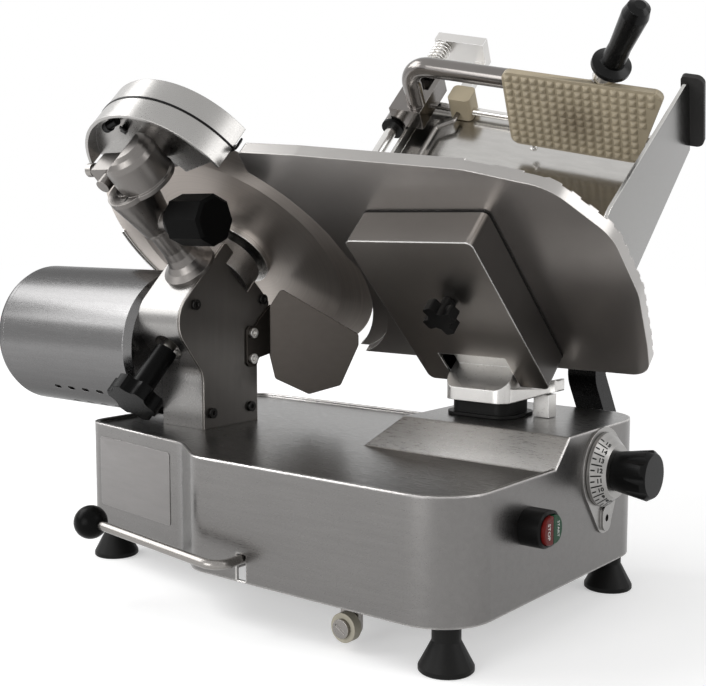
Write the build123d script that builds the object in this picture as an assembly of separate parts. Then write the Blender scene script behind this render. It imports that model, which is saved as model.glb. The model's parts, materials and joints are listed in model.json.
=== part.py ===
from build123d import *
import math
import os

# Gravity-feed food slicer. Millimetres, +Z up, +X towards the control face, +Y towards the food side.

# Whole machine
CENTRE_SHIFT_X = 48.4
CENTRE_SHIFT_Y = -47.2
GAP = 0.4
FIT = 0.05
TILT = 45.0
TRAY_LEAN = 15.0

# Base housing
BASE_LENGTH = 466.0
BASE_DEPTH = 300.0
BASE_BOTTOM = 36.0
RIM_HEIGHT = 133.0
RIM_WIDTH = 4.0
PAN_DEPTH = 3.0
PLATFORM_HEIGHT = 155.5
PLATFORM_LEFT = 70.0
PLATFORM_FRONT = 11.0
RAMP_RUN = 25.0
WALL = 3.0
FLOOR_SHEET = 2.5
FLOOR_LIFT = 4.0
FRONT_CORNER_RADIUS = 45.0
REAR_CORNER_RADIUS = 40.0
SIDE_CORNER_RADIUS = 20.0
STEP_RADIUS = 32.0
STEP_X = -30.0
PANEL_X = -78.0
PANEL_SETBACK = 34.0
PANEL_LEFT_SETBACK = 58.0

# Feet
FOOT_INSET = 25.0
FOOT_REAR_INSET = 22.0
FOOT_LEFT_INSET = 17.0
FOOT_SOLE_RADIUS = 21.0
FOOT_SOLE_THICKNESS = 4.0
FOOT_NECK_RADIUS = 11.0
FOOT_CONE_TOP = 23.0
FOOT_BOLT_RADIUS = 4.0

# Knife and its drive
KNIFE_X = -146.7
KNIFE_Y = 26.1
KNIFE_Z = 300.0
KNIFE_RADIUS = 150.0
KNIFE_EDGE = 0.4
KNIFE_THICKNESS = 5.0
KNIFE_BEVEL = 32.0
NOSE_RADIUS = 16.0
FLANGE_RADIUS = 40.0
FLANGE_THICKNESS = 5.0
SHAFT_RADIUS = 12.5
SHAFT_TAIL = 1.0
WHEEL_SHOULDER = 3.0
SHAFT_BORE = 6.4
SCREW_CIRCLE = 29.0
BEARING_RADIUS = 22.0
BEARING_LENGTH = 11.0
WHEEL_N = 100.5
WHEEL_LENGTH = 14.0
WHEEL_RADIUS = 23.0
WHEEL_TEETH = 28
WORM_RADIUS = 9.1
WORM_LENGTH = 40.0
TIE_ROD_RADIUS = 6.0

# Motor
MOTOR_RADIUS = 71.0
MOTOR_LENGTH = 203.0
MOTOR_WALL = 3.0
MOTOR_CAP = 12.0
VENT_ANGLES = (222.0, 246.0)
VENT_COUNT = 4
VENT_START = 62.0
VENT_PITCH = 21.5
VENT_LENGTH = 10.0
VENT_WIDTH = 5.0
STATOR_INNER = 45.0
STATOR_LENGTH = 95.0
ROTOR_SHAFT_RADIUS = 8.0

# Post
POST_THICKNESS = 53.0
POST_LEFT = -175.0
POST_FRONT = -48.0
POST_REAR = 25.0
POST_SHOULDER_Z = 222.0
POST_TOP_S = 35.0
POST_FACE_N = 26.0
POST_BACK_N = 126.0
POST_WAIST_Z = 183.0
SIDE_PLATE = 3.0
BOSS_RADIUS = 34.0
BOSS_START = 14.0

# Knife guard and cover
COVER_RADIUS = 112.0
COVER_SHEET = 2.5
COVER_OFFSET = 4.5
GUARD_CLEAR = 0.8
GUARD_WALL = 2.5
GUARD_FROM = 172.0
GUARD_TO = 262.0
GUARD_SPOKE = 16.0
KNOB_SLEEVE_RADIUS = 11.0
KNOB_SLEEVE_START = 135.0
KNOB_HEAD_START = 182.0
KNOB_HEAD_END = 197.0
KNOB_HEAD_RADIUS = 25.0

SIDE_X = BASE_LENGTH / 2
REAR_Y = BASE_DEPTH / 2
PANEL_Y = PANEL_SETBACK - REAR_Y
PANEL_LEFT_Y = PANEL_LEFT_SETBACK - REAR_Y
PAN_Z = RIM_HEIGHT - PAN_DEPTH
FLOOR_Z = BASE_BOTTOM + FLOOR_LIFT
MOTOR_S = -(WHEEL_RADIUS + WORM_RADIUS + GAP)
PLATE_X = POST_LEFT + POST_THICKNESS + SIDE_PLATE
NODES = {}

K = Plane(
    origin=(KNIFE_X, KNIFE_Y, KNIFE_Z),
    x_dir=(1, 0, 0),
    z_dir=(0, -math.cos(math.radians(TILT)), -math.sin(math.radians(TILT))),
)
TRAY = Plane(
    origin=K.origin,
    x_dir=(
        math.cos(math.radians(TRAY_LEAN)),
        math.sin(math.radians(TRAY_LEAN)) * math.sin(math.radians(TILT)),
        -math.sin(math.radians(TRAY_LEAN)) * math.cos(math.radians(TILT)),
    ),
    z_dir=K.z_dir,
)


def on_knife(shape):
    return K.location * shape


def box(x0, x1, y0, y1, z0, z1):
    return Pos((x0 + x1) / 2, (y0 + y1) / 2, (z0 + z1) / 2) * Box(x1 - x0, y1 - y0, z1 - z0)


def rod_z(radius, z0, z1, x=0.0, y=0.0):
    return Pos(x, y, (z0 + z1) / 2) * Cylinder(radius, z1 - z0)


def rod_x(radius, x0, x1, y=0.0, z=0.0):
    return Pos((x0 + x1) / 2, y, z) * Rot(0, 90, 0) * Cylinder(radius, x1 - x0)


def rod_y(radius, y0, y1, x=0.0, z=0.0):
    return Pos(x, (y0 + y1) / 2, z) * Rot(90, 0, 0) * Cylinder(radius, y1 - y0)


def prism(points, z0, z1, radii=None):
    if radii is None:
        outline = Polyline(*points, close=True)
    else:
        outline = FilletPolyline(*points, radius=radii, close=True)
    return Pos(0, 0, z0) * extrude(make_face(outline), z1 - z0)


def prism_x(points, x0, x1, radii=None):
    plane = Plane(origin=(x0, 0, 0), x_dir=(0, 1, 0), z_dir=(1, 0, 0))
    return plane.location * prism(points, 0, x1 - x0, radii)


def turned(points):
    return revolve(Plane.XZ * make_face(Polyline(*points, close=True)), Axis.Z)


def ring_sector(inner, outer, z0, z1, start, end, x=0.0, y=0.0):
    a0 = math.radians(start)
    a1 = math.radians(end)
    am = (a0 + a1) / 2

    def at(r, a):
        return (r * math.cos(a), r * math.sin(a))

    edges = [
        ThreePointArc(at(outer, a0), at(outer, am), at(outer, a1)),
        Line(at(outer, a1), at(inner, a1)),
        ThreePointArc(at(inner, a1), at(inner, am), at(inner, a0)),
        Line(at(inner, a0), at(outer, a0)),
    ]
    return Pos(x, y, z0) * extrude(make_face(edges), z1 - z0)


def lobed(radius, depth, count, z0, z1, dent):
    body = rod_z(radius, z0, z1)
    for i in range(count):
        a = 2 * math.pi * i / count
        reach = radius + dent - depth
        body -= rod_z(dent, z0 - 1, z1 + 1, reach * math.cos(a), reach * math.sin(a))
    return body


# Base: housing, floor, feet
def base_profile(inset=0.0):
    corners = [
        (SIDE_X, -REAR_Y),
        (SIDE_X, REAR_Y),
        (-SIDE_X, REAR_Y),
        (-SIDE_X, PANEL_LEFT_Y),
        (PANEL_X, PANEL_Y),
        (STEP_X, -REAR_Y),
    ]
    radii = [
        FRONT_CORNER_RADIUS,
        REAR_CORNER_RADIUS,
        SIDE_CORNER_RADIUS,
        SIDE_CORNER_RADIUS,
        STEP_RADIUS,
        STEP_RADIUS,
    ]
    face = make_face(FilletPolyline(*corners, radius=radii, close=True))
    return offset(face, -inset) if inset else face


def base_prism(inset, z0, z1):
    return Pos(0, 0, z0) * extrude(base_profile(inset), z1 - z0)


def platform(inset):
    bottom = PAN_Z - WALL - 1
    top = PLATFORM_HEIGHT - inset
    slope = RAMP_RUN / (PLATFORM_HEIGHT - PAN_Z)
    lean = inset * math.hypot(1, slope)

    def ramp(edge, z):
        return edge + lean - slope * (PLATFORM_HEIGHT - z)

    far = BASE_LENGTH
    block = base_prism(inset, bottom, top)
    front = [
        (ramp(PLATFORM_FRONT, bottom), bottom),
        (ramp(PLATFORM_FRONT, top), top),
        (far, top),
        (far, bottom),
    ]
    left = [
        (ramp(PLATFORM_LEFT, bottom), bottom),
        (ramp(PLATFORM_LEFT, top), top),
        (far, top),
        (far, bottom),
    ]
    block &= prism_x(front, -far, far)
    across = Plane(origin=(0, far, 0), x_dir=(1, 0, 0), z_dir=(0, -1, 0))
    block &= across.location * prism(left, 0, 2 * far)
    return block


# Controls on the front and right faces
INDEX_Y = 66.0
INDEX_DROP = 34.5
INDEX_Z = PLATFORM_HEIGHT - INDEX_DROP
INDEX_SHAFT_RADIUS = 8.0
INDEX_BUSH_RADIUS = 12.0
DIAL_RADIUS = 31.0
DIAL_TOP_RADIUS = 22.0
DIAL_LENGTH = 13.0
INDEX_KNOB_RADIUS = 21.0
INDEX_KNOB_LENGTH = 32.0
DIAL_PLATE = 2.0
LOCK_Y = 70.0
LOCK_DROP = 42.0
LOCK_Z = INDEX_Z - LOCK_DROP
SWITCH_Y = -53.0
SWITCH_Z = 97.0
SWITCH_WIDTH = 33.0
SWITCH_HEIGHT = 28.0
SWITCH_DEPTH = 19.0
SWITCH_NECK = 20.0
BUTTON_PROUD = 3.0
BUTTON_STROKE = 2.5
LEVER_PIVOT_X = 178.0
LEVER_PIVOT_Z = 55.0
LEVER_SLOT_X = 25.0
LEVER_ROD_RADIUS = 4.0
LEVER_BAR_INSET = 17.0
LEVER_BAR = 5.0
LEVER_DROP = 5.0
ROLLER_X = 124.0
ROLLER_Z = 17.5
ROLLER_RADIUS = 11.6
ROLLER_LENGTH = 8.0
BALL_RADIUS = 14.6
BALL_X = -127.0
BALL_REACH = 28.0
BALL_Z = 67.0

# Rails inside the base
RAIL_Y = 98.0
RAIL_Z = 66.0
RAIL_RADIUS = 9.0
GUARD_RAIL_Y = 52.0
GUARD_RAIL_RADIUS = 6.0
ARM_X = 172.0
ARM_WIDTH = 28.0
ARM_THICKNESS = 20.0
ARM_BACK = 10.0
ARM_FORTH = 280.0
ARM_SLOT_LOW = 52.0
ARM_SLOT_HIGH = 88.0
GUIDE_X = 123.0
GUIDE_Z = 98.0
GUIDE_RADIUS = 8.0
NECK_WIDTH = 22.0
NECK_Y0 = 58.0
NECK_Y1 = 84.0
GAUGE_CLOSE = 10.0
GAUGE_OPEN = 6.0

LEVER_BAR_Y = LEVER_BAR_INSET - REAR_Y
BALL_Y = -BALL_REACH - REAR_Y
lever_reach = LEVER_PIVOT_X - LEVER_SLOT_X
lever_fall = lever_reach * math.sin(math.radians(LEVER_DROP))
lever_shift = lever_reach * (1 - math.cos(math.radians(LEVER_DROP)))


def base_housing():
    body = base_prism(0, BASE_BOTTOM, RIM_HEIGHT)
    body -= base_prism(RIM_WIDTH, PAN_Z, RIM_HEIGHT + 1)
    body += platform(0)
    body -= base_prism(WALL, BASE_BOTTOM - 1, PAN_Z - WALL)
    body -= platform(WALL)
    body -= box(
        LEVER_SLOT_X - LEVER_ROD_RADIUS - GAP - 0.6,
        LEVER_SLOT_X + LEVER_ROD_RADIUS + lever_shift + GAP + 0.6,
        -REAR_Y - 1,
        -REAR_Y + WALL + 1,
        LEVER_PIVOT_Z - lever_fall - LEVER_ROD_RADIUS - GAP,
        LEVER_PIVOT_Z + LEVER_ROD_RADIUS + GAP,
    )
    arm_half = ARM_WIDTH / 2
    body -= box(
        ARM_X - arm_half - ARM_FORTH - 4,
        ARM_X + arm_half + ARM_BACK + 4,
        REAR_Y - REAR_CORNER_RADIUS,
        REAR_Y + 1,
        ARM_SLOT_LOW,
        ARM_SLOT_HIGH,
    )
    body -= box(
        GUIDE_X - NECK_WIDTH / 2 - 1,
        GUIDE_X + NECK_WIDTH / 2 + 1,
        NECK_Y0 - GAUGE_OPEN - 1,
        NECK_Y1 + GAUGE_CLOSE + 1,
        PLATFORM_HEIGHT - WALL - 1,
        PLATFORM_HEIGHT + 1,
    )
    body -= rod_x(INDEX_BUSH_RADIUS, SIDE_X - WALL - 1, SIDE_X + 1, INDEX_Y, INDEX_Z)
    half = SWITCH_NECK / 2
    body -= box(SIDE_X - WALL - 1, SIDE_X + 1, SWITCH_Y - half, SWITCH_Y + half, SWITCH_Z - half, SWITCH_Z + half)
    return body


FEET = [
    (SIDE_X - FOOT_INSET, -REAR_Y + FOOT_INSET),
    (SIDE_X - FOOT_REAR_INSET, REAR_Y - FOOT_REAR_INSET),
    (-SIDE_X + FOOT_LEFT_INSET, PANEL_LEFT_Y + FOOT_LEFT_INSET),
    (-SIDE_X + FOOT_LEFT_INSET, REAR_Y - FOOT_LEFT_INSET),
]


def base_floor():
    plate = base_prism(WALL, FLOOR_Z, FLOOR_Z + FLOOR_SHEET)
    plate -= box(LEVER_SLOT_X - 20, LEVER_PIVOT_X - 22, -REAR_Y, LEVER_BAR_Y + LEVER_BAR + 6, 0, RIM_HEIGHT)
    for x, y in FEET:
        plate -= rod_z(FOOT_BOLT_RADIUS, 0, RIM_HEIGHT, x, y)
    return plate


def foot(x, y):
    body = turned(
        [
            (0, 0),
            (FOOT_SOLE_RADIUS - 1, 0),
            (FOOT_SOLE_RADIUS, 1),
            (FOOT_SOLE_RADIUS, FOOT_SOLE_THICKNESS),
            (FOOT_NECK_RADIUS, FOOT_CONE_TOP),
            (FOOT_NECK_RADIUS, FLOOR_Z),
            (0, FLOOR_Z),
        ]
    )
    body -= rod_z(FOOT_BOLT_RADIUS, FLOOR_Z - 14, FLOOR_Z + 1)
    return Pos(x, y, 0) * body


def foot_bolts():
    bolt = rod_z(FOOT_BOLT_RADIUS, FLOOR_Z - 14, FLOOR_Z + FLOOR_SHEET)
    top = FLOOR_Z + FLOOR_SHEET
    bolt += Pos(0, 0, top) * extrude(RegularPolygon(FOOT_BOLT_RADIUS * 1.7, 6), FOOT_BOLT_RADIUS)
    return Compound([Pos(x, y, 0) * bolt for x, y in FEET])


NODES["base_floor"] = base_floor()
NODES["feet"] = Compound([foot(x, y) for x, y in FEET])
NODES["foot_bolts"] = foot_bolts()


# Knife, its shaft and the worm drive, in the knife frame: x along X, y up the slope, z to the slice side
BEARING_FRONT = POST_FACE_N + 6
BEARING_REAR = WHEEL_N + WHEEL_LENGTH / 2 + WHEEL_SHOULDER
SHAFT_END = BEARING_REAR + BEARING_LENGTH + SHAFT_TAIL
CAVITY_N0 = WHEEL_N - WHEEL_LENGTH / 2 - 8
WHEEL_CLEAR = WHEEL_RADIUS + 3


def screw_spots(count, radius, turn=0.0):
    step = 360 / count
    spots = []
    for i in range(count):
        a = math.radians(turn + i * step)
        spots.append((radius * math.cos(a), radius * math.sin(a)))
    return spots


def knife():
    body = turned(
        [
            (NOSE_RADIUS + FIT, 0),
            (KNIFE_RADIUS, 0),
            (KNIFE_RADIUS, KNIFE_EDGE),
            (KNIFE_RADIUS - KNIFE_BEVEL, KNIFE_THICKNESS),
            (NOSE_RADIUS + FIT, KNIFE_THICKNESS),
        ]
    )
    for x, y in screw_spots(4, SCREW_CIRCLE, 45):
        body -= rod_z(3, -1, KNIFE_THICKNESS + 1, x, y)
    return body


def knife_shaft():
    flange_top = KNIFE_THICKNESS + FLANGE_THICKNESS
    body = turned(
        [
            (SHAFT_BORE, 0),
            (NOSE_RADIUS, 0),
            (NOSE_RADIUS, KNIFE_THICKNESS),
            (FLANGE_RADIUS, KNIFE_THICKNESS),
            (FLANGE_RADIUS, flange_top),
            (SHAFT_RADIUS + 4, flange_top),
            (SHAFT_RADIUS + 4, BEARING_FRONT - 2),
            (SHAFT_RADIUS + 2, BEARING_FRONT - 2),
            (SHAFT_RADIUS + 2, BEARING_FRONT),
            (SHAFT_RADIUS, BEARING_FRONT),
            (SHAFT_RADIUS, SHAFT_END),
            (SHAFT_BORE, SHAFT_END),
        ]
    )
    for x, y in screw_spots(4, SCREW_CIRCLE, 45):
        body -= rod_z(3, 0, flange_top - 1, x, y)
    return body


def knife_screws():
    flange_top = KNIFE_THICKNESS + FLANGE_THICKNESS
    screws = []
    for x, y in screw_spots(4, SCREW_CIRCLE, 45):
        head = rod_z(5.5, -2, 0, x, y)
        head -= Pos(x, y, -2) * Box(8, 1.4, 1.6)
        screws.append(head + rod_z(3, 0, flange_top - 1, x, y))
    return Compound(screws)


def bearing(n0):
    return rod_z(BEARING_RADIUS, n0, n0 + BEARING_LENGTH) - rod_z(SHAFT_RADIUS + FIT, n0 - 1, n0 + BEARING_LENGTH + 1)


def worm_wheel():
    n0 = WHEEL_N - WHEEL_LENGTH / 2
    n1 = WHEEL_N + WHEEL_LENGTH / 2
    root = WHEEL_RADIUS - 2.6
    tooth = 2 * math.pi * WHEEL_RADIUS / WHEEL_TEETH
    body = rod_z(root, n0, n1)
    blank = prism([(root - 1, -tooth * 0.3), (WHEEL_RADIUS - 0.1, -tooth * 0.17), (WHEEL_RADIUS - 0.1, tooth * 0.17), (root - 1, tooth * 0.3)], n0, n1)
    for i in range(WHEEL_TEETH):
        body += Rot(0, 0, 360 * i / WHEEL_TEETH) * blank
    body -= rod_z(SHAFT_RADIUS, n0 - 1, n1 + 1)
    return body


def knife_cover():
    top = -COVER_OFFSET
    body = turned(
        [
            (0, top),
            (0, top - COVER_SHEET),
            (COVER_RADIUS - 3, top - COVER_SHEET),
            (COVER_RADIUS, top),
            (COVER_RADIUS, -1),
            (COVER_RADIUS - 3, -1),
            (COVER_RADIUS - 5, top),
        ]
    )
    return body + rod_z(TIE_ROD_RADIUS, top - 1, KNOB_HEAD_START - 4 - GAP)


def cover_knob():
    sleeve = rod_z(KNOB_SLEEVE_RADIUS, KNOB_SLEEVE_START, KNOB_HEAD_START)
    head = lobed(KNOB_HEAD_RADIUS, 4.5, 6, KNOB_HEAD_START, KNOB_HEAD_END, 11)
    body = sleeve + head
    body -= rod_z(TIE_ROD_RADIUS + FIT, KNOB_SLEEVE_START - 1, KNOB_HEAD_START - 4)
    return body


NODES["knife"] = on_knife(knife())
NODES["knife_shaft"] = on_knife(knife_shaft())
NODES["knife_screws"] = on_knife(knife_screws())
NODES["worm_wheel"] = on_knife(worm_wheel())
NODES["knife_cover"] = on_knife(knife_cover())
NODES["cover_knob"] = on_knife(cover_knob())


# Post with the knife bearings and the worm wheel's gear case
def yz(s, n):
    c = math.cos(math.radians(TILT))
    d = math.sin(math.radians(TILT))
    return (KNIFE_Y - s * d - n * c, KNIFE_Z + s * c - n * d)


def post_profile():
    return [
        (POST_FRONT, PAN_Z),
        (POST_REAR, PAN_Z),
        (POST_REAR, POST_SHOULDER_Z),
        yz(-52, POST_FACE_N),
        yz(POST_TOP_S, POST_FACE_N),
        yz(POST_TOP_S, POST_BACK_N),
        (POST_FRONT, POST_WAIST_Z),
    ]


POST_RADII = [0, 0, 6, 6, 4, 30, 24]
POST_HOLES = [(-58, 249), (33, 249), (-38, 145), (15, 145)]


def post_housing():
    body = prism_x(post_profile(), POST_LEFT, POST_LEFT + POST_THICKNESS, POST_RADII)
    boss = rod_z(BOSS_RADIUS, BOSS_START + 2, POST_FACE_N + 14)
    boss += Pos(0, 0, BOSS_START + 1) * Cone(BOSS_RADIUS - 5, BOSS_RADIUS, 2)
    boss -= box(-100, POST_LEFT - KNIFE_X, -100, 100, BOSS_START + 6, 100)
    body += on_knife(boss)
    cavity = box(-WHEEL_CLEAR, WHEEL_CLEAR + 10, MOTOR_S - WORM_RADIUS - 3, WHEEL_CLEAR, CAVITY_N0, BEARING_REAR)
    side = POST_LEFT + POST_THICKNESS - KNIFE_X
    cavity &= box(POST_LEFT - KNIFE_X + 4, side + 1, -100, 100, 0, 200)
    tool = cavity
    tool += rod_z(BEARING_RADIUS, BEARING_FRONT, CAVITY_N0 + 1)
    tool += rod_z(BEARING_RADIUS, BEARING_REAR - 1, BEARING_REAR + BEARING_LENGTH)
    tool += rod_z(SHAFT_RADIUS + 5, BOSS_START - 1, BEARING_FRONT + 1)
    tool += rod_z(SHAFT_RADIUS + 2, BEARING_REAR, BEARING_REAR + 60)
    tool += rod_x(WORM_RADIUS + 1, POST_LEFT - KNIFE_X - 1, POST_LEFT - KNIFE_X + 6, MOTOR_S, WHEEL_N)
    body -= on_knife(tool)
    for y, z in POST_HOLES:
        body -= rod_x(2.5, POST_LEFT + POST_THICKNESS - 10, POST_LEFT + POST_THICKNESS + 1, y, z)
    return body


def post_side_plate():
    start = POST_LEFT + POST_THICKNESS
    plate = prism_x(post_profile(), start, start + SIDE_PLATE, POST_RADII)
    for y, z in POST_HOLES:
        plate -= rod_x(2.5, start - 1, start + SIDE_PLATE + 1, y, z)
    for y, z in BRACKET_HOLES:
        plate -= rod_x(2.5, start - 1, start + SIDE_PLATE + 1, y, z)
    boss = on_knife(rod_z(BOSS_RADIUS, BOSS_START, POST_FACE_N + 14))
    return plate - boss


def side_screw(y, z, start, seat):
    screw = rod_x(2.5, start, seat, y, z) + rod_x(5, seat, seat + 3, y, z)
    return screw - Pos(seat + 3, y, z) * Rot(0, 90, 0) * extrude(RegularPolygon(2.4, 6), 2, both=True)


def post_screws():
    screws = [side_screw(y, z, PLATE_X - SIDE_PLATE - 10, PLATE_X) for y, z in POST_HOLES]
    for y, z in BRACKET_HOLES:
        screws.append(side_screw(y, z, PLATE_X - SIDE_PLATE, PLATE_X + BRACKET_SHEET))
    return Compound(screws)


BRACKET_HOLES = [(17, 217), (16.5, 192)]
BRACKET_SHEET = 2.0
NODES["post_housing"] = post_housing()
NODES["post_side_plate"] = post_side_plate()
NODES["post_screws"] = post_screws()


# Motor, its axis along X below the knife shaft
MOTOR_Y, MOTOR_Z = yz(MOTOR_S, WHEEL_N)
MOTOR_END = POST_LEFT - MOTOR_LENGTH
MOTOR_WALL_X = POST_LEFT - 16
CAP_X = MOTOR_END + MOTOR_CAP


def along_motor(points):
    frame = Plane(origin=(0, MOTOR_Y, MOTOR_Z), x_dir=(0, 1, 0), z_dir=(1, 0, 0))
    return frame.location * turned(points)


def motor_shell():
    bore = BEARING_RADIUS - 4
    body = along_motor(
        [
            (MOTOR_RADIUS - MOTOR_WALL, CAP_X),
            (MOTOR_RADIUS, CAP_X),
            (MOTOR_RADIUS, POST_LEFT - 6),
            (MOTOR_RADIUS - 6, POST_LEFT),
            (ROTOR_SHAFT_RADIUS + 2, POST_LEFT),
            (ROTOR_SHAFT_RADIUS + 2, POST_LEFT - 4),
            (bore, POST_LEFT - 4),
            (bore, MOTOR_WALL_X),
            (bore + 5, MOTOR_WALL_X),
            (bore + 5, POST_LEFT - 5),
            (MOTOR_RADIUS - MOTOR_WALL, POST_LEFT - 9),
        ]
    )
    for angle in VENT_ANGLES:
        for i in range(VENT_COUNT):
            x = POST_LEFT - VENT_START - VENT_PITCH * i
            slot = Pos(x, MOTOR_RADIUS, 0) * Rot(90, 0, 0) * extrude(SlotOverall(VENT_LENGTH, VENT_WIDTH), 12, both=True)
            body -= Pos(0, MOTOR_Y, MOTOR_Z) * Rot(angle, 0, 0) * slot
    return body


def motor_end_cap():
    bore = BEARING_RADIUS - 4
    inner = MOTOR_RADIUS - MOTOR_WALL
    return along_motor(
        [
            (0, MOTOR_END),
            (MOTOR_RADIUS - 6, MOTOR_END),
            (MOTOR_RADIUS - 2, MOTOR_END + 2),
            (MOTOR_RADIUS, MOTOR_END + 7),
            (MOTOR_RADIUS, CAP_X),
            (inner, CAP_X),
            (inner - 4, MOTOR_END + 5),
            (bore + 5, MOTOR_END + 5),
            (bore + 5, CAP_X + 6),
            (bore, CAP_X + 6),
            (bore, MOTOR_END + 6),
            (0, MOTOR_END + 6),
        ]
    )


def motor_bearings():
    bore = BEARING_RADIUS - 4
    rings = []
    for start in (CAP_X - 5, POST_LEFT - 4 - BEARING_LENGTH):
        ring = along_motor(
            [
                (ROTOR_SHAFT_RADIUS + FIT, start),
                (bore, start),
                (bore, start + BEARING_LENGTH),
                (ROTOR_SHAFT_RADIUS + FIT, start + BEARING_LENGTH),
            ]
        )
        rings.append(ring)
    return rings


STATOR_X = CAP_X + 40


def motor_stator():
    outer = MOTOR_RADIUS - MOTOR_WALL
    return along_motor(
        [
            (STATOR_INNER, STATOR_X),
            (outer, STATOR_X),
            (outer, STATOR_X + STATOR_LENGTH),
            (STATOR_INNER, STATOR_X + STATOR_LENGTH),
        ]
    )


def motor_rotor():
    core = STATOR_INNER - 0.8
    worm_start = KNIFE_X - WORM_LENGTH / 2
    points = [
        (0, CAP_X - 5),
        (ROTOR_SHAFT_RADIUS, CAP_X - 5),
        (ROTOR_SHAFT_RADIUS, STATOR_X),
        (core, STATOR_X),
        (core, STATOR_X + STATOR_LENGTH),
        (ROTOR_SHAFT_RADIUS, STATOR_X + STATOR_LENGTH),
        (ROTOR_SHAFT_RADIUS, worm_start),
    ]
    pitch = 2 * math.pi * WHEEL_RADIUS / WHEEL_TEETH
    root = WORM_RADIUS - 2.6
    points.append((root, worm_start))
    turns = int(WORM_LENGTH / pitch)
    for i in range(turns):
        x = worm_start + i * pitch
        points.append((root, x + pitch * 0.2))
        points.append((WORM_RADIUS, x + pitch * 0.4))
        points.append((WORM_RADIUS, x + pitch * 0.6))
        points.append((root, x + pitch * 0.8))
    points.append((root, worm_start + WORM_LENGTH))
    points.append((0, worm_start + WORM_LENGTH))
    return along_motor(points)


NODES["motor_shell"] = motor_shell()
NODES["motor_end_cap"] = motor_end_cap()
NODES["bearings"] = Compound([on_knife(bearing(BEARING_FRONT)), on_knife(bearing(BEARING_REAR))] + motor_bearings())
NODES["motor_stator"] = motor_stator()
NODES["motor_rotor"] = motor_rotor()


# Guard ring round the knife's free edge
GUARD_N0 = -4.0
GUARD_N1 = 2.0
GUARD_WEB = 4.0


def ring_guard():
    inner = KNIFE_RADIUS + GUARD_CLEAR
    outer = inner + GUARD_WALL
    web = BOSS_START + GUARD_WEB
    body = ring_sector(inner, outer, GUARD_N0, GUARD_N1, GUARD_FROM, GUARD_TO)
    body += ring_sector(inner, outer, GUARD_N0, web, GUARD_TO - 2 * GUARD_SPOKE, GUARD_TO - GUARD_SPOKE)
    body += ring_sector(BOSS_RADIUS, outer, web - GUARD_WEB, web, GUARD_TO - 2 * GUARD_SPOKE, GUARD_TO - GUARD_SPOKE)
    return body


NODES["ring_guard"] = on_knife(ring_guard())

# Sharpener on top of the post
SHARP_X = 5.0
SHARP_N = 60.0
SHARP_POST_RADIUS = 13.0
SHARP_POST_TOP = 140.0
SHARP_FOOT_RADIUS = 26.0
SLEEVE_LOW_RADIUS = 16.0
SLEEVE_HIGH_RADIUS = 23.0
SLEEVE_START = 88.0
COLLAR_THICKNESS = 5.0
HEAD_X = 14.0
HEAD_N = 46.0
HEAD_S = 138.0
HEAD_RADIUS = 26.0
HEAD_HEIGHT = 36.0
HEAD_STEP = 16.0
ARM_REACH = 34.0
CAP_RADIUS = 86.0
CAP_WALL = 3.0
CAP_X0 = 8.3
CAP_S = 109.8
CAP_N0 = -17.7
CAP_SEAM = 6.0
CAP_N1 = 30.0
CAP_FROM = 15.0
CAP_TO = 158.0
CAP_WEB_N = 13.0
STONE_RADIUS = 17.0
STONE_N = 8.0
PIN_RADIUS = 4.0
PIN_STROKE = 4.0
PIN_LENGTH = 24.0
STUB_RADIUS = 6.5
CLAMP_S = 98.0
CLAMP_RADIUS = 23.0
CLAMP_START = 40.0
CLAMP_END = 84.0
CLAMP_STEM = 5.0


def up_slope(points, x, n):
    return Pos(x, 0, n) * Rot(-90, 0, 0) * turned(points)


def sharpener_arm():
    return up_slope(
        [
            (0, POST_TOP_S),
            (SHARP_FOOT_RADIUS, POST_TOP_S),
            (SHARP_FOOT_RADIUS, POST_TOP_S + 4),
            (SHARP_POST_RADIUS + 7, POST_TOP_S + 8),
            (SHARP_POST_RADIUS + 3, POST_TOP_S + 13),
            (SHARP_POST_RADIUS + 1, POST_TOP_S + 20),
            (SHARP_POST_RADIUS, POST_TOP_S + 28),
            (SHARP_POST_RADIUS, SHARP_POST_TOP),
            (0, SHARP_POST_TOP),
        ],
        SHARP_X,
        SHARP_N,
    )


PIN_S = HEAD_S + HEAD_HEIGHT - HEAD_STEP - PIN_RADIUS - 6
PIN_N = HEAD_N
ARM_END = HEAD_X - HEAD_RADIUS - ARM_REACH + 10


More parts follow.
